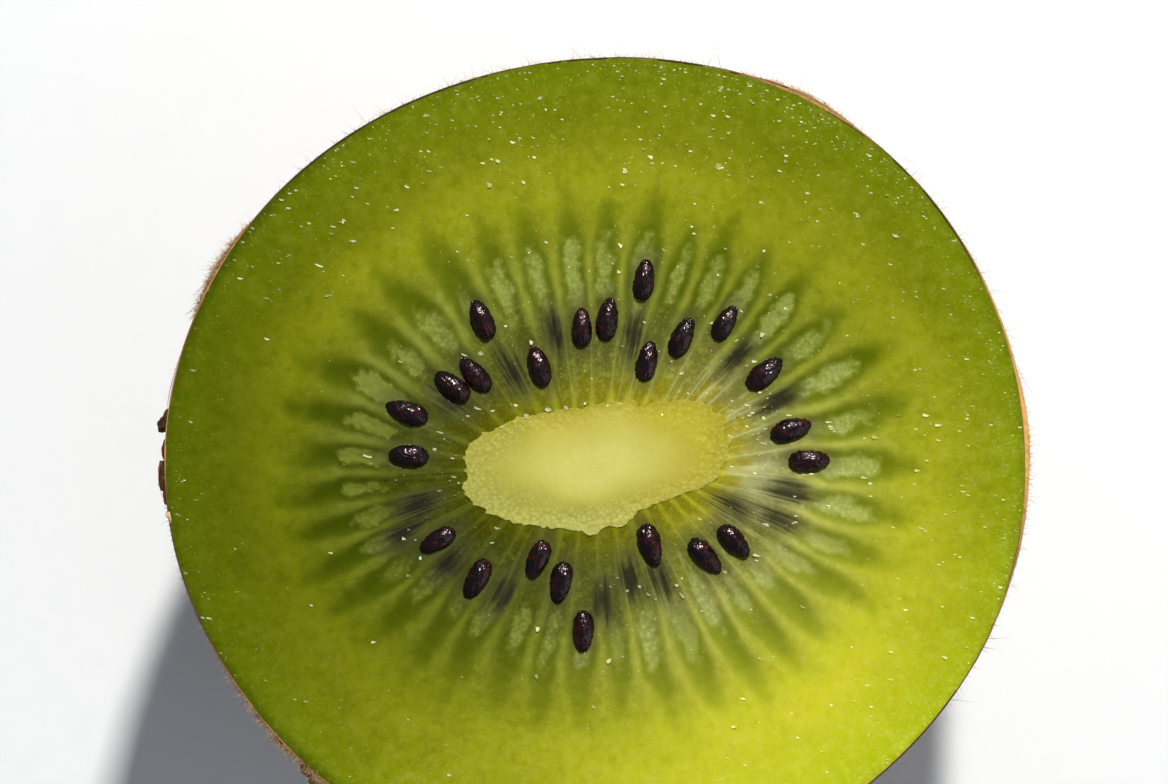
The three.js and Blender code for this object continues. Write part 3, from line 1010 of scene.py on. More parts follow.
class KIWI_OT_flesh(bpy.types.Operator):
    """Cut flesh with its locules, septa and pulp, down inside the skin"""

    bl_idname = "kiwi.flesh"
    bl_label = "Flesh"

    def execute(self, context):
        """The cut is a grid of locule by share raised by the pattern's relief; the sides follow the skin."""
        lap = FLESH_LAP * context.scene.kiwi_sizes.skin_thickness
        locule = np.arange(LOCULES * STEPS_PER_LOCULE) / STEPS_PER_LOCULE
        start = core_share(locule) - UNDER_CORE
        inner = start + (1 - start) * np.linspace(0, 1, INNER_ROWS)[:-1, None]
        share = np.concatenate([inner, OUTER_SHARES[:, None] + 0 * locule])[::-1]
        points, relief, masks = cut_pattern(np.broadcast_to(locule, share.shape), share)
        radius = np.linalg.norm(points, axis=-1, keepdims=True)
        points = points * (1 - lap * fade_in(share, LAP_SPAN)[..., None] / radius)
        face = np.concatenate([points, (FACE_HEIGHT + relief)[..., None]], -1)
        heights = rising_heights(FLESH_SIDE_ROWS, FACE_HEIGHT - FLESH_SHOULDER)
        sides = side_point(rim_angle(locule), heights, -lap)
        sides[..., 2] = np.maximum(sides[..., 2], lap)
        ends = (0, 0, lap + SCAR_DEPTH), (0, 0, FACE_HEIGHT - UNDER_CORE_MIDDLE)
        surface = closed_surface(np.concatenate([sides, face]), *ends)
        fields = {}
        for name, values in masks.items():
            down_sides = np.broadcast_to(values[0], sides.shape[:2])
            fields[name] = np.concatenate([down_sides.ravel(), values.ravel(), [1, 0]])
        material = flesh_material("kiwi_flesh_wet", context.scene.kiwi_colours, FLESH_ROUGHNESS, 1.0)
        flesh = put_piece("kiwi_flesh", surface, material, fields)
        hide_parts("flesh")
        return {"FINISHED"}


CORE_ROWS = 70
CORE_SIDE_ROWS = 14
CORE_STEPS = 14  # per locule
CORE_SHOULDER = [1, 0.996, 0.988]
CORE_INWARD = (0.975, 0.02)
# How far the edge strays out, as a share of its width: crumbs, points at the septa, all round, lobes.
CORE_CRUMBS = (0.7 * MM, 3, 41)
CORE_CRUMB_SHARE = 0.035
CORE_POINT_SHARE = 0.02
CORE_POINTS = (0.6, 1)
CORE_FULLER = 0.015
CORE_LOBES = [
    (268, 0.17, 6), (281, 0.12, 6), (68, -0.1, 4), (113, 0.07, 12), (90, 0.07, 9), (41, 0.05, 8),
    (203, 0.04, 9), (184, -0.05, 13), (7, -0.045, 15),
]
CORE_STRAY_DEPTH = (0, 6 * MM)
CORE_STRAY_POWER = 3
CORE_RIM = (0.45, 1)
CORE_TOP = 0.8 * CORE_PROUD
CORE_RIM_TOP = 0.025 * MM
CORE_LEAST = 0.03 * MM
CORE_CELL_RISE = (0.03 * MM, 0.03, (0.65, 1))  # height, part of it in the middle, and where it grows
CORE_CELLS = (0.3 * MM, 2, 43)
CORE_SWELL_RISE = (0.03 * MM, (0.3, 0.9))
CORE_SWELL = (1.2 * MM, 1, 47)
# Where its edge is riper, greener, crumbled or faded: bells round it, and from and to which share of it.
CORE_EDGE_BLUR = (1.4 * MM, 1, 51)
CORE_BLUR_SHARE = 0.07
CORE_FIELDS = {
    "ripe": ([(28, 1, 26)], 0, (0.45, 0.85)),
    "green": ([(-110, 1, 60), (-165, 0.7, 40)], 0, (0.4, 0.95)),
    "crumbs": ([(-100, 1, 75)], 0.4, (0.35, 1)),
    "faded": ([(80, 1, 55)], 0.4, (0.82, 1.03)),
}


class KIWI_OT_core(bpy.types.Operator):
    """Pale core with its beaded, lobed edge"""

    bl_idname = "kiwi.core"
    bl_label = "Core"

    def execute(self, context):
        """Rings up the spindle's superellipse sides, over a crumbly shoulder and in to the middle."""
        locule = np.arange(LOCULES * CORE_STEPS) / CORE_STEPS
        edge = face_point(locule, core_share(locule))
        across = 2 * np.abs(locule - np.round(locule))
        stray = CORE_CRUMB_SHARE * texture(edge, CORE_CRUMBS) + CORE_FULLER
        stray += CORE_POINT_SHARE * fade_in(across, CORE_POINTS) + bumps(spoke_angle(locule), CORE_LOBES)
        depth = CORE_DEPTH * np.sin(np.linspace(0, np.pi / 2, CORE_SIDE_ROWS)[1:-1])[::-1, None]
        taper = (1 - (depth / CORE_DEPTH) ** CORE_BLUNTNESS) ** (1 / CORE_BLUNTNESS)
        side_scale = taper * (1 + stray * fade_out(depth, CORE_STRAY_DEPTH))
        inward = np.append(CORE_SHOULDER, np.linspace(*CORE_INWARD, CORE_ROWS))[:, None]
        scale = np.concatenate([side_scale, inward * (1 + stray * inward**CORE_STRAY_POWER)])
        flat = edge * scale[..., None]
        top = flat[len(depth) :]
        rim = fade_in(inward, CORE_RIM)
        cells, cells_least, cells_span = CORE_CELL_RISE
        rise = CORE_TOP * (1 - rim) + CORE_RIM_TOP * rim
        rise = rise + cells * texture(top, CORE_CELLS) * (cells_least + fade_in(inward, cells_span))
        rise = rise + CORE_SWELL_RISE[0] * texture(top, CORE_SWELL) * fade_in(inward, CORE_SWELL_RISE[1])
        rise = np.maximum(rise, CORE_LEAST * rim)
        height = np.concatenate([np.broadcast_to(-depth, side_scale.shape), rise]) + FACE_HEIGHT
        ends = (0, 0, FACE_HEIGHT - CORE_DEPTH), (0, 0, FACE_HEIGHT + CORE_PROUD)
        surface = closed_surface(np.concatenate([flat, height[..., None]], -1), *ends)

        place = surface[0][:, :2]
        angle = np.arctan2(place[:, 1], place[:, 0])
        near = np.concatenate([np.ones(side_scale.size), np.broadcast_to(inward, rise.shape).ravel(), [1, 0]])
        near = near + CORE_BLUR_SHARE * texture(place, CORE_EDGE_BLUR)
        fields = {"edge": near}
        for name, (bells, least, span) in CORE_FIELDS.items():
            fields[name] = fade_in(near, span) * (least + (1 - least) * bumps(angle, bells))
        core = put_piece("kiwi_core", surface, core_material(context.scene.kiwi_colours), fields)
        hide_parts("core")
        return {"FINISHED"}


WORD = 2**32 - 1
DRAW_STEP = 0x6D2B79F5
DRAW_SHIFTS = (15, 7, 14)
DRAW_SET_BITS = (1, 61)


def draws_from(start):
    """Repeatable numbers from 0 to 1, the same as the solids' seeds draw.

    The state steps on by a fixed amount, and its bits are mixed by multiplying it with shifted copies
    of itself, all in 32 bits (mulberry32).
    """
    state = start
    while True:
        state = (state + DRAW_STEP) & WORD
        mixed = ((state ^ (state >> DRAW_SHIFTS[0])) * (DRAW_SET_BITS[0] | state)) & WORD
        more = (mixed ^ (mixed >> DRAW_SHIFTS[1])) * (DRAW_SET_BITS[1] | mixed)
        mixed ^= (mixed + (more & WORD)) & WORD
        yield (mixed ^ (mixed >> DRAW_SHIFTS[2])) / (WORD + 1)


SEED_GRID = (44, 72)
SEED_PLUMP = 1.02
WEAR_SEED = 5
WEAR_SPREAD = 20  # lumps between one seed's place in the noise and another's
SEED_LUMPS = 1.3  # to a half size
SEED_LUMP_RISE = 0.03
SEED_LUMP_SEED = 61
SEED_PITS = (8, 4.5, 8)  # to a half size across, along and up
SEED_PIT_EDGE = (0.02, 0.3)
SEED_PIT_SEED = 62


class KIWI_OT_seeds(bpy.types.Operator):
    """Glossy pitted seeds that show on the cut"""

    bl_idname = "kiwi.seeds"
    bl_label = "Seeds"

    def execute(self, context):
        """Each is an egg of width (1 - |y|^2.15)^(1/2.15) (1 - taper y), with pits where |noise| is large."""
        sizes = context.scene.kiwi_sizes
        polar = np.pi * np.arange(1, SEED_GRID[0] + 1) / (SEED_GRID[0] + 1)
        turn = FULL_TURN * np.arange(SEED_GRID[1]) / SEED_GRID[1]
        along, round_it = np.meshgrid(-np.cos(polar), turn, indexing="ij")
        width = SEED_PLUMP * (1 - np.abs(along) ** SEED_BULGE) ** (1 / SEED_BULGE) * (1 - SEED_TAPER * along)
        shape = np.stack([width * np.sin(round_it), along, width * np.cos(round_it)], -1)
        draw = draws_from(SEED_DRAW)
        wear = np.random.default_rng(WEAR_SEED)
        surfaces, pitting = [], []
        for locule, share in SEEDS:
            size = 1 + SEED_SPREAD * (2 * next(draw) - 1)
            lean = SEED_LEAN * (2 * next(draw) - 1)
            place, outward = seed_frame(locule, share)
            heading = math.atan2(outward[1], outward[0]) - math.pi / 2 + lean
            drawn = WEAR_SPREAD * wear.random(3)
            pits = fade_in(np.abs(noise(shape * SEED_PITS + drawn, SEED_PIT_SEED)), SEED_PIT_EDGE)
            pitting += [pits.ravel(), [0, 0]]
            swell = 1 + SEED_LUMP_RISE * noise(shape * SEED_LUMPS + drawn, SEED_LUMP_SEED)
            swell = swell - sizes.pit_depth / SEED_HALF[0] * pits
            solid = turned(shape * np.array(SEED_HALF) * size * swell[..., None], heading)
            sink = sizes.locule_sink * (1 + math.cos(FULL_TURN * locule)) / 2 * fade_in(share, SINK_SPAN[0])
            solid = solid + (*place, FACE_HEIGHT - sink + SEED_RAISED)
            surfaces.append(closed_surface(solid, solid[0].mean(0), solid[-1].mean(0)))
        fields = {"pit": np.concatenate(pitting)}
        put_piece("kiwi_seeds", joined(surfaces), seed_material(context.scene.kiwi_colours), fields)
        return {"FINISHED"}


# Where the peel lifts off below its cut edge: (degrees round, how far out, half width in degrees).
LIFTED_PEEL = [
    (5, 0.2 * MM, 8), (-9, 0.08 * MM, 7), (22, 0.03 * MM, 7), (-24, 0.03 * MM, 8), (60, 0.24 * MM, 7),
    (152, 0.15 * MM, 7), (-138, 0.1 * MM, 12),
]
LIFT_DEPTH = (0, 0.45 * MM), (2 * MM, 9 * MM)
# Where its cut edge is pale and dry instead of dark, the palest, on the right, also carrying painted light:
# (degrees round, how pale, half width in degrees).
PALE_PEEL = [
    (3, 1, 13), (23, 0.45, 8), (-20, 0.3, 8), (60, 0.5, 9), (152, 0.7, 7), (168, 0.35, 8), (178, 0.55, 5),
    (-138, 0.6, 14),
]
PALE_DEPTH = (0, 3 * MM)
LIP_PALING = 0.8
WRINKLES = (1.6 * MM, 3, 71)
WRINKLE_RISE = 0.03 * MM
WRINKLE_SPANS = (0, 1 * MM), (0, 0.3 * MM)  # above the resting end, and below the cut
SKIN_SIDES = 480
SKIN_ROWS = 110
SKIN_INSIDE_ROWS = 12
SKIN_INSIDE_DEPTH = 0.6 * MM
LIP_DEPTH = 0.02 * MM
LIP_SHARES = np.array([[0.45], [1]])  # of the thickness
LIP_DARKNESS = 0.5  # on its outer half
LIP_WAVER = 0.05 * MM
LIP_WAVER_PACE = 30  # lumps to a radian
LIP_WAVER_SEED = 73
# How far below the cut the peel is darkened as painted shade.
RIM_SHADE_DEPTH = (0.3 * MM, 1.8 * MM)
# The button of the stem scar, as (share of its radius, height in mm), and how far its colour spreads.
SCAR_PROFILE = [(0.35, 0.62), (0.62, 0.7), (0.8, 0.45), (0.95, 0.08), (1.1, 0.0), (1.8, 0.0)]
SCAR_MIDDLE = 0.5 * MM
SCAR_SPREAD = (1.9 * MM, 2.6 * MM)


def peel_point(angle, height):
    """The outer face of the skin: the side of the fruit, lifted in places and finely wrinkled."""
    plain = side_point(angle, height)
    depth = FACE_HEIGHT - plain[..., 2]
    lift = bumps(angle, LIFTED_PEEL) * between(depth, LIFT_DEPTH)
    wrinkle = WRINKLE_RISE * texture(plain, WRINKLES) * fade_in(plain[..., 2], WRINKLE_SPANS[0])
    return side_point(angle, height, lift + wrinkle * fade_in(depth, WRINKLE_SPANS[1]))


class KIWI_OT_skin(bpy.types.Operator):
    """Thin brown peel with its dark cut edge and stem scar"""

    bl_idname = "kiwi.skin"
    bl_label = "Skin"

    def execute(self, context):
        """A closed shell: rings up the outside, over the ragged lip and down just inside."""
        thickness = context.scene.kiwi_sizes.skin_thickness
        angle = FULL_TURN * np.arange(SKIN_SIDES) / SKIN_SIDES
        outside = peel_point(angle, rising_heights(SKIN_ROWS, FACE_HEIGHT))
        outside[-1, :, 2] += LIP_WAVER * noise(LIP_WAVER_PACE * towards(angle), LIP_WAVER_SEED)
        button = [
            np.concatenate([SCAR_RADIUS * radius * towards(angle), np.full((SKIN_SIDES, 1), height * MM)], -1)
            for radius, height in SCAR_PROFILE
        ]
        lip = side_point(angle, FACE_HEIGHT - LIP_DEPTH + 0 * LIP_SHARES, -thickness * LIP_SHARES)
        heights = rising_heights(SKIN_INSIDE_ROWS, FACE_HEIGHT - SKIN_INSIDE_DEPTH)[::-1]
        inside = side_point(angle, heights, -thickness)
        inside[..., 2] = np.maximum(inside[..., 2], thickness)
        rings = np.concatenate([button, outside, lip, inside])
        surface = closed_surface(rings, (0, 0, SCAR_MIDDLE), (0, 0, SCAR_DEPTH + thickness))
        outer_rows = len(button) + len(outside)
        darkness = np.zeros(rings.shape[:2])
        darkness[outer_rows] = LIP_DARKNESS
        darkness[outer_rows + 1 :] = 1
        x, y, height = surface[0].T
        depth = FACE_HEIGHT - height
        pale = np.clip(bumps(np.arctan2(y, x), PALE_PEEL), 0, 1)
        fields = {
            "lip": np.append(darkness.ravel(), [0, 1]) * (1 - LIP_PALING * pale),
            "scar": fade_out(np.hypot(x, y), SCAR_SPREAD),
            "pale_peel_and_painted_light": pale * fade_out(depth, PALE_DEPTH),
            # Painted shade just below the cut edge.
            "cut": fade_out(depth, RIM_SHADE_DEPTH),
        }
        put_piece("kiwi_skin", surface, skin_material(context.scene.kiwi_colours), fields)
        return {"FINISHED"}


# Corky crags on the rim: degrees round, out, depth below the cut, half sizes along, out and up, in mm,
# and paleness.
CRAGS = [
    (174.4, 0.22, 0.45, 0.46, 0.34, 0.34, 0.0),
    (173.2, 0.08, 0.3, 0.4, 0.18, 0.2, 0.1),
    (177.6, 0.06, 0.4, 0.55, 0.14, 0.25, 0.15),
    (181.2, 0.14, 0.5, 0.9, 0.27, 0.35, 0.05),
    (183.8, 0.03, 0.4, 0.55, 0.16, 0.25, 0.2),
    (186.4, -0.02, 0.02, 0.2, 0.14, 0.08, 1.0),
    (187, -0.1, -0.02, 0.26, 0.06, 0.05, 1.0),
    (229, 0.45, 0.5, 0.7, 0.35, 0.3, 0.5),
    (226.5, 0.3, 0.45, 0.5, 0.25, 0.25, 0.35),
]
CRAG_GRID = (19, 30)
CRAG_LUMPS = 1.8  # to a half size
CRAG_STEP = 7  # lumps between one crag's place in the noise and the next's
CRAG_RISE = 0.2
CRAG_OCTAVES = 3
CRAG_SEED = 91
# Shreds of peel that stand off the rim. Each runs from a start by a middle to an end, all as (degrees
# round, mm out, mm deep), and has a half width in mm and a paleness.
SHREDS = [
    ((68, 0.05, 0.2), (61, 0.3, 0.25), (54, 0.05, 0.3), 0.12, 0.7),
    ((64, 0.1, 0.3), (60, 0.42, 0.4), (56.5, 0.3, 0.4), 0.05, 0.9),
    ((148, 0.02, 0.2), (152, 0.3, 0.25), (158, 0.05, 0.3), 0.14, 0.6),
    ((152, 0.15, 0.2), (155.5, 0.2, 0.2), (156.8, 0.6, 0.3), 0.04, 0.5),
    ((156, 0.05, 0.25), (158.5, 0.1, 0.25), (159.6, 0.55, 0.3), 0.05, 0.4),
    ((145, 0.02, 0.2), (148, 0.22, 0.2), (151, 0.1, 0.25), 0.07, 0.9),
    ((14, 0.1, 0.5), (11, 0.3, 0.5), (9.4, 0.75, 0.4), 0.03, 0.9),
    ((46.6, 0.02, 0.2), (45, 0.35, 0.2), (43.2, 0.75, 0.1), 0.025, 0.8),
    ((178.8, 0.1, 0.35), (181.4, 0.72, 0.4), (185, 0.02, 0.2), 0.05, 0.8),
    ((172.2, 0.1, 0.3), (170, 0.14, 0.25), (165, 0.02, 0.2), 0.06, 0.6),
]
SHRED_STEPS = 24
SHRED_SIDES = 8
SHRED_THINNESS = 0.35


def shred(path, half_width):
    """A flat tapered tube along a path of points: ellipses across it, standing on edge, whose size
    grows and falls along it by sqrt(sin)."""
    along = unit(np.gradient(path, axis=0))
    level = unit(np.cross(along, (0, 0, 1)))
    up = np.cross(level, along)
    share = (np.arange(len(path)) + 0.5) / len(path)
    wide = half_width * np.sqrt(np.sin(np.pi * share))[:, None, None]
    turn = FULL_TURN * np.arange(SHRED_SIDES)[:, None] / SHRED_SIDES
    flat = SHRED_THINNESS * np.cos(turn) * level[:, None] + np.sin(turn) * up[:, None]
    return closed_surface(path[:, None] + wide * flat, path[0], path[-1])


class KIWI_OT_peel_scraps(bpy.types.Operator):
    """Corky crags and shreds of dried peel on the rim"""

    bl_idname = "kiwi.peel_scraps"
    bl_label = "Peel Scraps"

    def execute(self, context):
        """Crags are ellipsoids roughened by noise; shreds are flat tubes along a bent path.

        A shred's path is (1 - t)^2 start + 2t (1 - t) middle + t^2 end.
        """
        polar = np.pi * np.arange(1, CRAG_GRID[0] + 1)[:, None] / (CRAG_GRID[0] + 1)
        turn = FULL_TURN * np.arange(CRAG_GRID[1]) / CRAG_GRID[1]
        level = np.sin(polar)[..., None] * towards(turn)
        ball = np.concatenate([level, (np.cos(polar) + 0 * turn)[..., None]], -1)
        surfaces, paleness = [], []
        for number, (degrees, out, depth, along, outward, up, pale) in enumerate(CRAGS):
            angle = math.radians(degrees)
            crumbs = rough_noise(CRAG_LUMPS * ball + CRAG_STEP * number, CRAG_OCTAVES, CRAG_SEED)
            solid = ball * (1 + CRAG_RISE * crumbs)[..., None] * np.array((along, outward, up)) * MM
            ways = np.array([(*towards(angle + np.pi / 2), 0), (*towards(angle), 0), (0, 0, 1)])
            solid = solid @ ways + side_point(angle, FACE_HEIGHT - depth * MM, out * MM)
            surfaces.append(closed_surface(solid[::-1], solid[-1].mean(0), solid[0].mean(0)))
            paleness.append(np.full(len(surfaces[-1][0]), pale))
        step = np.linspace(0, 1, SHRED_STEPS)[:, None]
        for start, middle, end, half_width, pale in SHREDS:
            bent = (1 - step) ** 2 * start + 2 * step * (1 - step) * middle + step**2 * end
            path = side_point(np.radians(bent[:, 0]), FACE_HEIGHT - bent[:, 2] * MM, bent[:, 1] * MM)
            surfaces.append(shred(path, half_width * MM))
            paleness.append(np.full(len(surfaces[-1][0]), pale))
        fields = {"pale": np.concatenate(paleness)}
        put_piece("kiwi_peel_scraps", joined(surfaces), scurf_material(), fields)
        return {"FINISHED"}


HAIR_SIDES = 3
HAIR_QUADS = [[0, 1, 4, 3], [1, 2, 5, 4], [2, 0, 3, 5]]
HAIR_TRIANGLES = [[2, 1, 0], [3, 4, 6], [4, 5, 6], [5, 3, 6]]
HAIR_PALENESS = [0, 0, 0, 0.5, 0.5, 0.5, 1]  # of its root ring, its middle ring and its tip
HAIR_ROOT = 0.03 * MM  # how deep it starts in the skin
HAIR_CLEAR = 0.02 * MM  # the least height over the floor
HAIR_TAPER = 0.75
HAIR_SLANT = 0.35  # how far hairs point up at the cut and down at the resting end
HAIR_UNRULY = 0.45
HAIR_LEAST_OUT = 0.2
HAIR_CURL = 0.35
HAIR_WEIGHT = (0, 0, 0.15)
HAIR_ASIDE = (0.36, 0.48, 0.8)  # a direction that hardly any hair has
FUZZ_THICKNESS = 0.022 * MM
FUZZ_SEED = 81
BRISTLE_THICKNESS = 0.02 * MM
BRISTLE_SEED = 82
BRISTLE_REACH = 1.8  # times as long as the short fuzz
FUZZ_BUNCHING = 0.8  # the power of the height they are drawn by: more grow where the fruit is wide
SPARSE_DEPTH = (1.5 * MM, 11 * MM)
SPARSE_LEAST = 0.03
SPARSE_POWER = 0.5
SPARSE_LENGTH = 0.35
SHORTEST_HAIR = 0.5  # of the usual length
SPARSE_COMBED = 3
# Tufts at the rim: degrees round, half spread in degrees, hairs, length in mm, and how far they lie
# along it.
RIM_TUFTS = [
    (1, 14, 160, 0.3, 0.6), (152, 7, 700, 0.55, 1.4), (61, 8, 260, 0.4, 1.2), (-138, 12, 500, 0.6, 0.3),
    (-131, 2, 260, 0.8, 0.2), (120, 30, 60, 0.5, 1.5), (30, 20, 30, 0.3, 0.3), (-160, 20, 120, 0.35, 0.4),
    (90, 30, 24, 0.5, 1.5),
]
TUFT_NARROWNESS = 0.5
TUFT_DEPTH = 0.9 * MM
TUFT_BUNCHING = 1.5
TUFT_LENGTHS = (0.4, 0.8)
TUFT_FORWARD = 0.7  # share of its hairs that lie anticlockwise
TUFT_THINNESS = 0.75


def hairs(angle, height, length, lie, combed, thickness, draw):
    """Tapered three-sided hairs on the skin: root ring, middle ring and tip along a bent line.

    A hair starts from its root and goes length (t way + t^2 bend); way is the outward direction plus a
    random part, lie times the direction round the fruit and combed times the way down.
    """
    root = peel_point(angle, height)
    up = height[:, None]
    outward = np.concatenate([towards(angle), HAIR_SLANT * (2 * up / FACE_HEIGHT - 1)], -1)
    around = np.concatenate([towards(angle + np.pi / 2), 0 * up], -1)
    way = outward + lie * around - combed * np.array((0, 0, 1)) + HAIR_UNRULY * draw.normal(0, 1, root.shape)
    way = unit(way + outward * np.maximum(0, HAIR_LEAST_OUT - (way * outward).sum(-1, keepdims=True)))
    bend = draw.normal(0, HAIR_CURL, root.shape) - HAIR_WEIGHT
    side = unit(np.cross(way, HAIR_ASIDE))
    turn = FULL_TURN * np.arange(HAIR_SIDES)[:, None] / HAIR_SIDES
    ring = thickness * (side[:, None] * np.cos(turn) + np.cross(way, side)[:, None] * np.sin(turn))
    base = root - HAIR_ROOT * outward
    half = base + length * (way / 2 + bend / 4)
    tip = base + length * (way + bend)
    points = np.concatenate([base[:, None] + ring, half[:, None] + HAIR_TAPER * ring, tip[:, None]], 1)
    points[..., 2] = np.maximum(points[..., 2], HAIR_CLEAR)
    return points


class KIWI_OT_fuzz(bpy.types.Operator):
    """Short fuzz, longer bristles and tufts at the rim"""

    bl_idname = "kiwi.fuzz"
    bl_label = "Fuzz"

    def execute(self, context):
        """Hairs over the whole skin, sparse near the cut, and tufts within a spread of some directions."""
        sizes = context.scene.kiwi_sizes
        material = fuzz_material(context.scene.kiwi_colours)
        bristle_length = BRISTLE_REACH * sizes.fuzz_length
        kinds = (
            ("kiwi_fuzz_short", sizes.fuzz_count, sizes.fuzz_length, FUZZ_THICKNESS, FUZZ_SEED, RIM_TUFTS),
            ("kiwi_fuzz_bristles", sizes.bristle_count, bristle_length, BRISTLE_THICKNESS, BRISTLE_SEED, []),
        )
        for name, count, length, thickness, seed, tufts in kinds:
            draw = np.random.default_rng(seed)
            angle = FULL_TURN * draw.random(2 * count)
            height = FACE_HEIGHT * draw.random(2 * count) ** FUZZ_BUNCHING
            crowd = fade_in(FACE_HEIGHT - height, SPARSE_DEPTH)
            chance = SPARSE_LEAST + (1 - SPARSE_LEAST) * crowd**SPARSE_POWER
            kept = np.flatnonzero(draw.random(2 * count) < chance)[:count]
            angle, height, crowd = angle[kept], height[kept], crowd[kept]
            long = length * (SHORTEST_HAIR + draw.random(len(kept)))
            long = long * (SPARSE_LENGTH + (1 - SPARSE_LENGTH) * crowd)
            combed = SPARSE_COMBED * (1 - crowd[:, None])
            groups = [hairs(angle, height, long[:, None], 0.0, combed, thickness, draw)]
            for degrees, spread, number, reach, lie in tufts:
                away = np.clip(draw.normal(0, TUFT_NARROWNESS, number), -1, 1)
                angle = np.radians(degrees + spread * away)
                height = FACE_HEIGHT - TUFT_DEPTH * draw.random(number) ** TUFT_BUNCHING
                long = reach * MM * (TUFT_LENGTHS[0] + TUFT_LENGTHS[1] * draw.random((number, 1)))
                lay = lie * np.where(draw.random((number, 1)) < TUFT_FORWARD, 1, -1)
                groups.append(hairs(angle, height, long, lay, 0.0, TUFT_THINNESS * thickness, draw))
            places = np.concatenate(groups)
            fields = {"tip": np.tile(HAIR_PALENESS, len(places))}
            put_piece(name, copies(places, HAIR_QUADS, HAIR_TRIANGLES), material, fields)
        return {"FINISHED"}


# Beads strewn over the cut: more are drawn than kept, with a chance that depends on where they lie.
BEAD_SEED = 9
BEAD_TRIES = 4  # for each bead kept at most
BEAD_OUTER = 0.6  # share of them outside the locules
BEAD_OUTER_SHARES = (1.97, -0.95, 1.8)  # the share at the rim, how far it runs in, and by which power
BEAD_INNER_SHARES = (0.05, 0.9)
BEAD_CROWDS = (2.5 * MM, 1, 95)
BEAD_CROWDING = (0.6, 0.7)
BEAD_SIDE = math.radians(52)  # where the beads lie thickest
BEAD_SIDE_SPAN = (-0.5, 0.6)
BEAD_OUTER_CHANCE = (0.15, 0.85)
BEAD_INNER_CHANCE = (0.35, 0.2)
BEAD_SIZES = (0.027 * MM, 0.13 * MM, 3.6)  # the least, how much more at most, and by which power
BEAD_STRETCH = (1.3, 2)  # outside and inside the locules' end
BEAD_SPIN = 0.3  # radians off the spoke that a stretched bead lies along
# Places where several lie together: (locule, share, how many, size in mm).
BEAD_GROUPS = [
    (6.8, 1.35, 9, 0.24), (11.5, 1.2, 4, 0.24), (3.3, 1.61, 5, 0.22), (5.7, 1.21, 5, 0.16),
    (4.0, 1.52, 5, 0.2), (3.2, 1.87, 3, 0.24), (14.0, 1.47, 3, 0.2), (14.9, 1.58, 4, 0.22),
    (14.9, 1.11, 3, 0.2), (37.6, 0.77, 3, 0.2), (37.6, 0.99, 3, 0.2), (6.8, 1.59, 4, 0.18),
    (4.4, 1.91, 3, 0.2), (12.2, 1.86, 4, 0.22), (8.9, 1.62, 3, 0.18), (33.9, 1.4, 5, 0.2),
    (34.3, 1.5, 3, 0.2), (35.2, 1.75, 3, 0.2), (21.6, 1.05, 2, 0.24), (31.3, 1.1, 2, 0.24),
    (2.4, 1.45, 4, 0.18), (1.2, 1.8, 5, 0.16), (13.2, 1.3, 5, 0.14), (10.3, 1.75, 5, 0.16),
    (0.6, 1.5, 3, 0.2), (13.2, -0.02, 4, 0.16), (12.0, -0.02, 4, 0.16), (11.0, -0.03, 3, 0.14),
    (17.2, 0.18, 3, 0.2), (8.6, -0.02, 3, 0.1), (9.9, -0.01, 3, 0.1), (5.2, -0.02, 2, 0.1),
    (14.6, -0.02, 2, 0.12),
]
GROUP_SPREAD = (0.11, 0.022)  # in locules and in shares, for beads of 1 mm
GROUP_SIZES = (0.2, 0.6)
GROUP_STRETCH = 1.2
# Looser froth of small beads near the rim, with its spread in locules and in shares.
FROTH = [
    (5.2, 1.88, 26, 0.11), (4.3, 1.86, 20, 0.11), (6.4, 1.9, 18, 0.11), (3.2, 1.8, 14, 0.11),
    (1.7, 1.84, 14, 0.11), (9.4, 1.92, 16, 0.11), (11.4, 1.9, 18, 0.11), (12.6, 1.88, 14, 0.11),
    (15.2, 1.9, 10, 0.1), (18.4, 1.86, 10, 0.1), (19.6, 1.86, 14, 0.1), (0.4, 1.88, 12, 0.1),
    (36.6, 1.86, 10, 0.1),
]
FROTH_SPREAD = (0.44, 0.035)
# What a bead is like: a prism on an uneven polygon.
BEAD_SIDES = 7
BEAD_UNEVEN = 0.4  # of a side
BEAD_RADII = (0.78, 0.36)
BEAD_LEAN = math.radians(21.5)  # how the knife's stroke left them leaning, and which way
BEAD_LEAN_SPREAD = math.radians(2.2)
BEAD_FACING = math.radians(79)
BEAD_FACING_SPREAD = math.radians(6)
BEAD_SUNK = 0.6  # of the rise of its top
BEAD_DEPTH = 0.06 * MM
BEAD_RIM_SHARE = 1.955  # none lies further out
BEAD_ROUND_SPAN = (1.75, 1.94)  # stretched ones grow round towards the rim
BEAD_CORE = (0.05, 0.06 * MM)  # up to which share beads lie on the core's edge, and its height


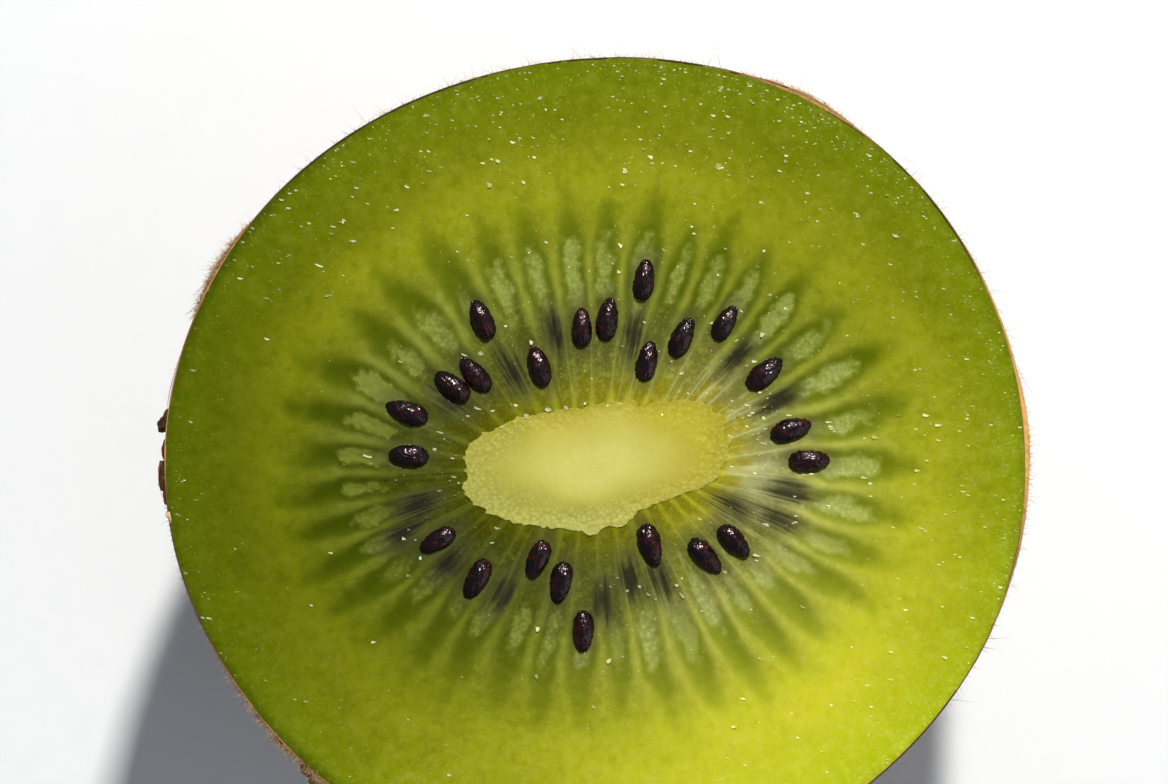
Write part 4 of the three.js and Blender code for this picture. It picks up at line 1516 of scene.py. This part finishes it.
def strewn_beads(count, draw):
    """Locule, share, size, stretch and spin of beads strewn over the cut, thickest towards a side."""
    tries = BEAD_TRIES * count
    locule = LOCULES * draw.random(tries)
    outer = draw.random(tries) < BEAD_OUTER
    rim, inwards, power = BEAD_OUTER_SHARES
    outside = rim + inwards * draw.random(tries) ** power
    share = np.where(outer, outside, BEAD_INNER_SHARES[0] + BEAD_INNER_SHARES[1] * draw.random(tries))
    crowd = BEAD_CROWDING[0] + BEAD_CROWDING[1] * texture(face_point(locule, share), BEAD_CROWDS)
    toward = np.cos(spoke_angle(locule) - BEAD_SIDE)
    chance = np.where(
        outer,
        BEAD_OUTER_CHANCE[0] + BEAD_OUTER_CHANCE[1] * fade_in(toward, BEAD_SIDE_SPAN),
        BEAD_INNER_CHANCE[0] + BEAD_INNER_CHANCE[1] * toward,
    )
    kept = np.flatnonzero(draw.random(tries) < chance * crowd)[:count]
    least, more, power = BEAD_SIZES
    size = least + more * draw.random(len(kept)) ** power
    stretch = 1 + np.where(outer[kept], *BEAD_STRETCH) * draw.random(len(kept)) ** 2
    spin = spoke_angle(locule[kept]) + BEAD_SPIN * draw.normal(0, 1, len(kept))
    return np.stack([locule[kept], share[kept], size, stretch, spin])


def gathered_beads(draw):
    """The same five values of beads that lie in groups and in froth, spread by bell curves."""
    tight, loose = (np.repeat(table, [row[2] for row in table], 0) for table in (BEAD_GROUPS, FROTH))
    spread = np.concatenate([
        draw.normal(0, 1, (len(tight), 2)) * tight[:, 3:] * GROUP_SPREAD,
        draw.normal(0, 1, (len(loose), 2)) * FROTH_SPREAD,
    ])
    groups = np.concatenate([tight, loose])
    locule, share = (groups[:, :2] + spread).T
    size = groups[:, 3] * MM * (GROUP_SIZES[0] + GROUP_SIZES[1] * draw.random(len(groups)))
    stretch = 1 + GROUP_STRETCH * draw.random(len(groups))
    return np.stack([locule, share, size, stretch, FULL_TURN * draw.random(len(groups))])


class KIWI_OT_juice(bpy.types.Operator):
    """Beads of juice on the cut face"""

    bl_idname = "kiwi.juice"
    bl_label = "Juice"

    def execute(self, context):
        """Prisms on uneven polygons, whose top leans: z = -tan(lean) (x, y) . the way it faces."""
        draw = np.random.default_rng(BEAD_SEED)
        strewn = strewn_beads(context.scene.kiwi_sizes.bead_count, draw)
        locule, share, size, stretch, spin = np.concatenate([strewn, gathered_beads(draw)], -1)
        share = np.minimum(share, BEAD_RIM_SHARE)
        stretch = 1 + (stretch - 1) * fade_out(share, BEAD_ROUND_SPAN)
        points, relief, masks = cut_pattern(locule, share)
        core_end, core_height = BEAD_CORE
        relief = np.where(share < core_end, core_height, relief)

        count = len(size)
        side = np.arange(BEAD_SIDES)
        turn = FULL_TURN * (side + BEAD_UNEVEN * draw.random((count, BEAD_SIDES))) / BEAD_SIDES
        disc = towards(turn) * (BEAD_RADII[0] + BEAD_RADII[1] * draw.random((count, BEAD_SIDES, 1)))
        disc = disc * np.stack([stretch, 0 * stretch + 1], -1)[:, None] * size[:, None, None]
        flat = turned(disc, spin[:, None])
        lean = np.tan(BEAD_LEAN + BEAD_LEAN_SPREAD * draw.normal(0, 1, count))
        facing = towards(BEAD_FACING + BEAD_FACING_SPREAD * draw.normal(0, 1, count))
        rise = -lean[:, None] * (flat * facing[:, None]).sum(-1)
        lowest, highest = rise.min(1, keepdims=True), rise.max(1, keepdims=True)
        rise = rise - (1 - BEAD_SUNK) * lowest - BEAD_SUNK * highest
        top = np.concatenate([flat, rise[..., None]], -1)
        bottom = np.concatenate([flat, np.full((count, BEAD_SIDES, 1), -BEAD_DEPTH)], -1)
        middles = np.concatenate([points, (FACE_HEIGHT + relief)[:, None]], -1)
        places = np.concatenate([top, bottom], 1) + middles[:, None]

        after = (side + 1) % BEAD_SIDES
        walls = np.stack([after, side, BEAD_SIDES + side, BEAD_SIDES + after], -1)
        fan = np.arange(1, BEAD_SIDES - 1)
        top_fan = np.stack([0 * fan, fan, fan + 1], -1)
        bottom_fan = BEAD_SIDES + np.stack([0 * fan, fan + 1, fan], -1)
        surface = copies(places, walls, np.concatenate([top_fan, bottom_fan]))
        fields = {name: np.repeat(values, 2 * BEAD_SIDES) for name, values in masks.items()}
        material = flesh_material("kiwi_juice_on_flesh", context.scene.kiwi_colours, JUICE_ROUGHNESS, 0.0)
        put_piece("kiwi_juice_beads", surface, material, fields, smooth=False)
        return {"FINISHED"}


# ---------------------------------------------------------------------------------------------------
# The stage

PICTURE_SIZE = (1168, 784)  # pixels
FACE_PIXEL = (595, 467)  # where the middle of the cut face comes
PIXEL_SIZE = 0.05787 * MM  # on the cut face
LENS = 150.0
SENSOR = 36.0
FLOOR_HALF = 0.9
# Area lights: name, place over the middle of the cut, size, watts and colour.
LIGHTS = (
    ("key", (0.085, 0.42, 0.47), (0.04, 0.06), 4.65, "#fffefa"),
    ("fill", (0.5, -0.25, 0.32), (0.6, 0.6), 0.8, "#fffdf8"),
)
SKY_COLOUR = "#cfdff6"
SKY_STRENGTH = 0.19


class KIWI_OT_stage(bpy.types.Operator):
    """Pale floor, soft light and a camera that looks straight down"""

    bl_idname = "kiwi.stage"
    bl_label = "Stage"

    def execute(self, context):
        """The camera's height over the cut is lens / sensor times the width of the frame there."""
        scene = context.scene
        mesh = bpy.data.meshes.new("floor")
        corners = [(-1, -1, 0), (1, -1, 0), (1, 1, 0), (-1, 1, 0)]
        mesh.from_pydata(FLOOR_HALF * np.array(corners), [], [(0, 1, 2, 3)])
        mesh.materials.append(stage_material())
        floor = bpy.data.objects.new("floor", mesh)
        scene.collection.objects.link(floor)
        for name, place, size, power, colour in LIGHTS:
            light = bpy.data.lights.new(name, "AREA")
            light.shape = "RECTANGLE"
            light.size, light.size_y = size
            light.energy = power
            light.color = linear(colour)[:3]
            lamp = bpy.data.objects.new(name, light)
            lamp.location = Vector(place) + Vector((0, 0, FACE_HEIGHT))
            lamp.rotation_euler = Vector(place).to_track_quat("Z", "Y").to_euler()
            scene.collection.objects.link(lamp)
        world = bpy.data.worlds.new("studio")
        world.use_nodes = True
        sky = world.node_tree.nodes["Background"].inputs
        sky["Color"].default_value = linear(SKY_COLOUR)
        sky["Strength"].default_value = SKY_STRENGTH
        scene.world = world
        camera = bpy.data.cameras.new("camera")
        camera.lens = LENS
        camera.sensor_width = SENSOR
        eye = bpy.data.objects.new("camera", camera)
        away = LENS / SENSOR * PICTURE_SIZE[0] * PIXEL_SIZE
        across = (PICTURE_SIZE[0] / 2 - FACE_PIXEL[0]) * PIXEL_SIZE
        up = (FACE_PIXEL[1] - PICTURE_SIZE[1] / 2) * PIXEL_SIZE
        eye.location = (SHIFT[0] + across, SHIFT[1] + up, FACE_HEIGHT + away)
        scene.collection.objects.link(eye)
        scene.camera = eye
        scene.view_settings.view_transform = "Standard"
        return {"FINISHED"}


OPERATORS = (
    KIWI_OT_flesh,
    KIWI_OT_core,
    KIWI_OT_seeds,
    KIWI_OT_skin,
    KIWI_OT_peel_scraps,
    KIWI_OT_fuzz,
    KIWI_OT_juice,
    KIWI_OT_stage,
)


class KIWI_PT_parts(bpy.types.Panel):
    """Lists the pieces, sizes and colours"""

    bl_idname = "KIWI_PT_parts"
    bl_label = "Kiwi Fruit Half"
    bl_space_type = "VIEW_3D"
    bl_region_type = "UI"
    bl_category = "Kiwi"

    def draw(self, context):
        for operator in OPERATORS:
            self.layout.operator(operator.bl_idname)
        for group in (context.scene.kiwi_sizes, context.scene.kiwi_colours):
            for name in group.__annotations__:
                self.layout.prop(group, name)


CLASSES = (KiwiSizes, KiwiColours, *OPERATORS, KIWI_PT_parts)


def register():
    for made in CLASSES:
        bpy.utils.register_class(made)
    bpy.types.Scene.kiwi_sizes = PointerProperty(type=KiwiSizes)
    bpy.types.Scene.kiwi_colours = PointerProperty(type=KiwiColours)


def unregister():
    del bpy.types.Scene.kiwi_colours
    del bpy.types.Scene.kiwi_sizes
    for made in reversed(CLASSES):
        bpy.utils.unregister_class(made)


def main():
    register()
    for operator in OPERATORS:
        getattr(bpy.ops.kiwi, operator.bl_idname.split(".")[1])()


if __name__ == "__main__":
    main()
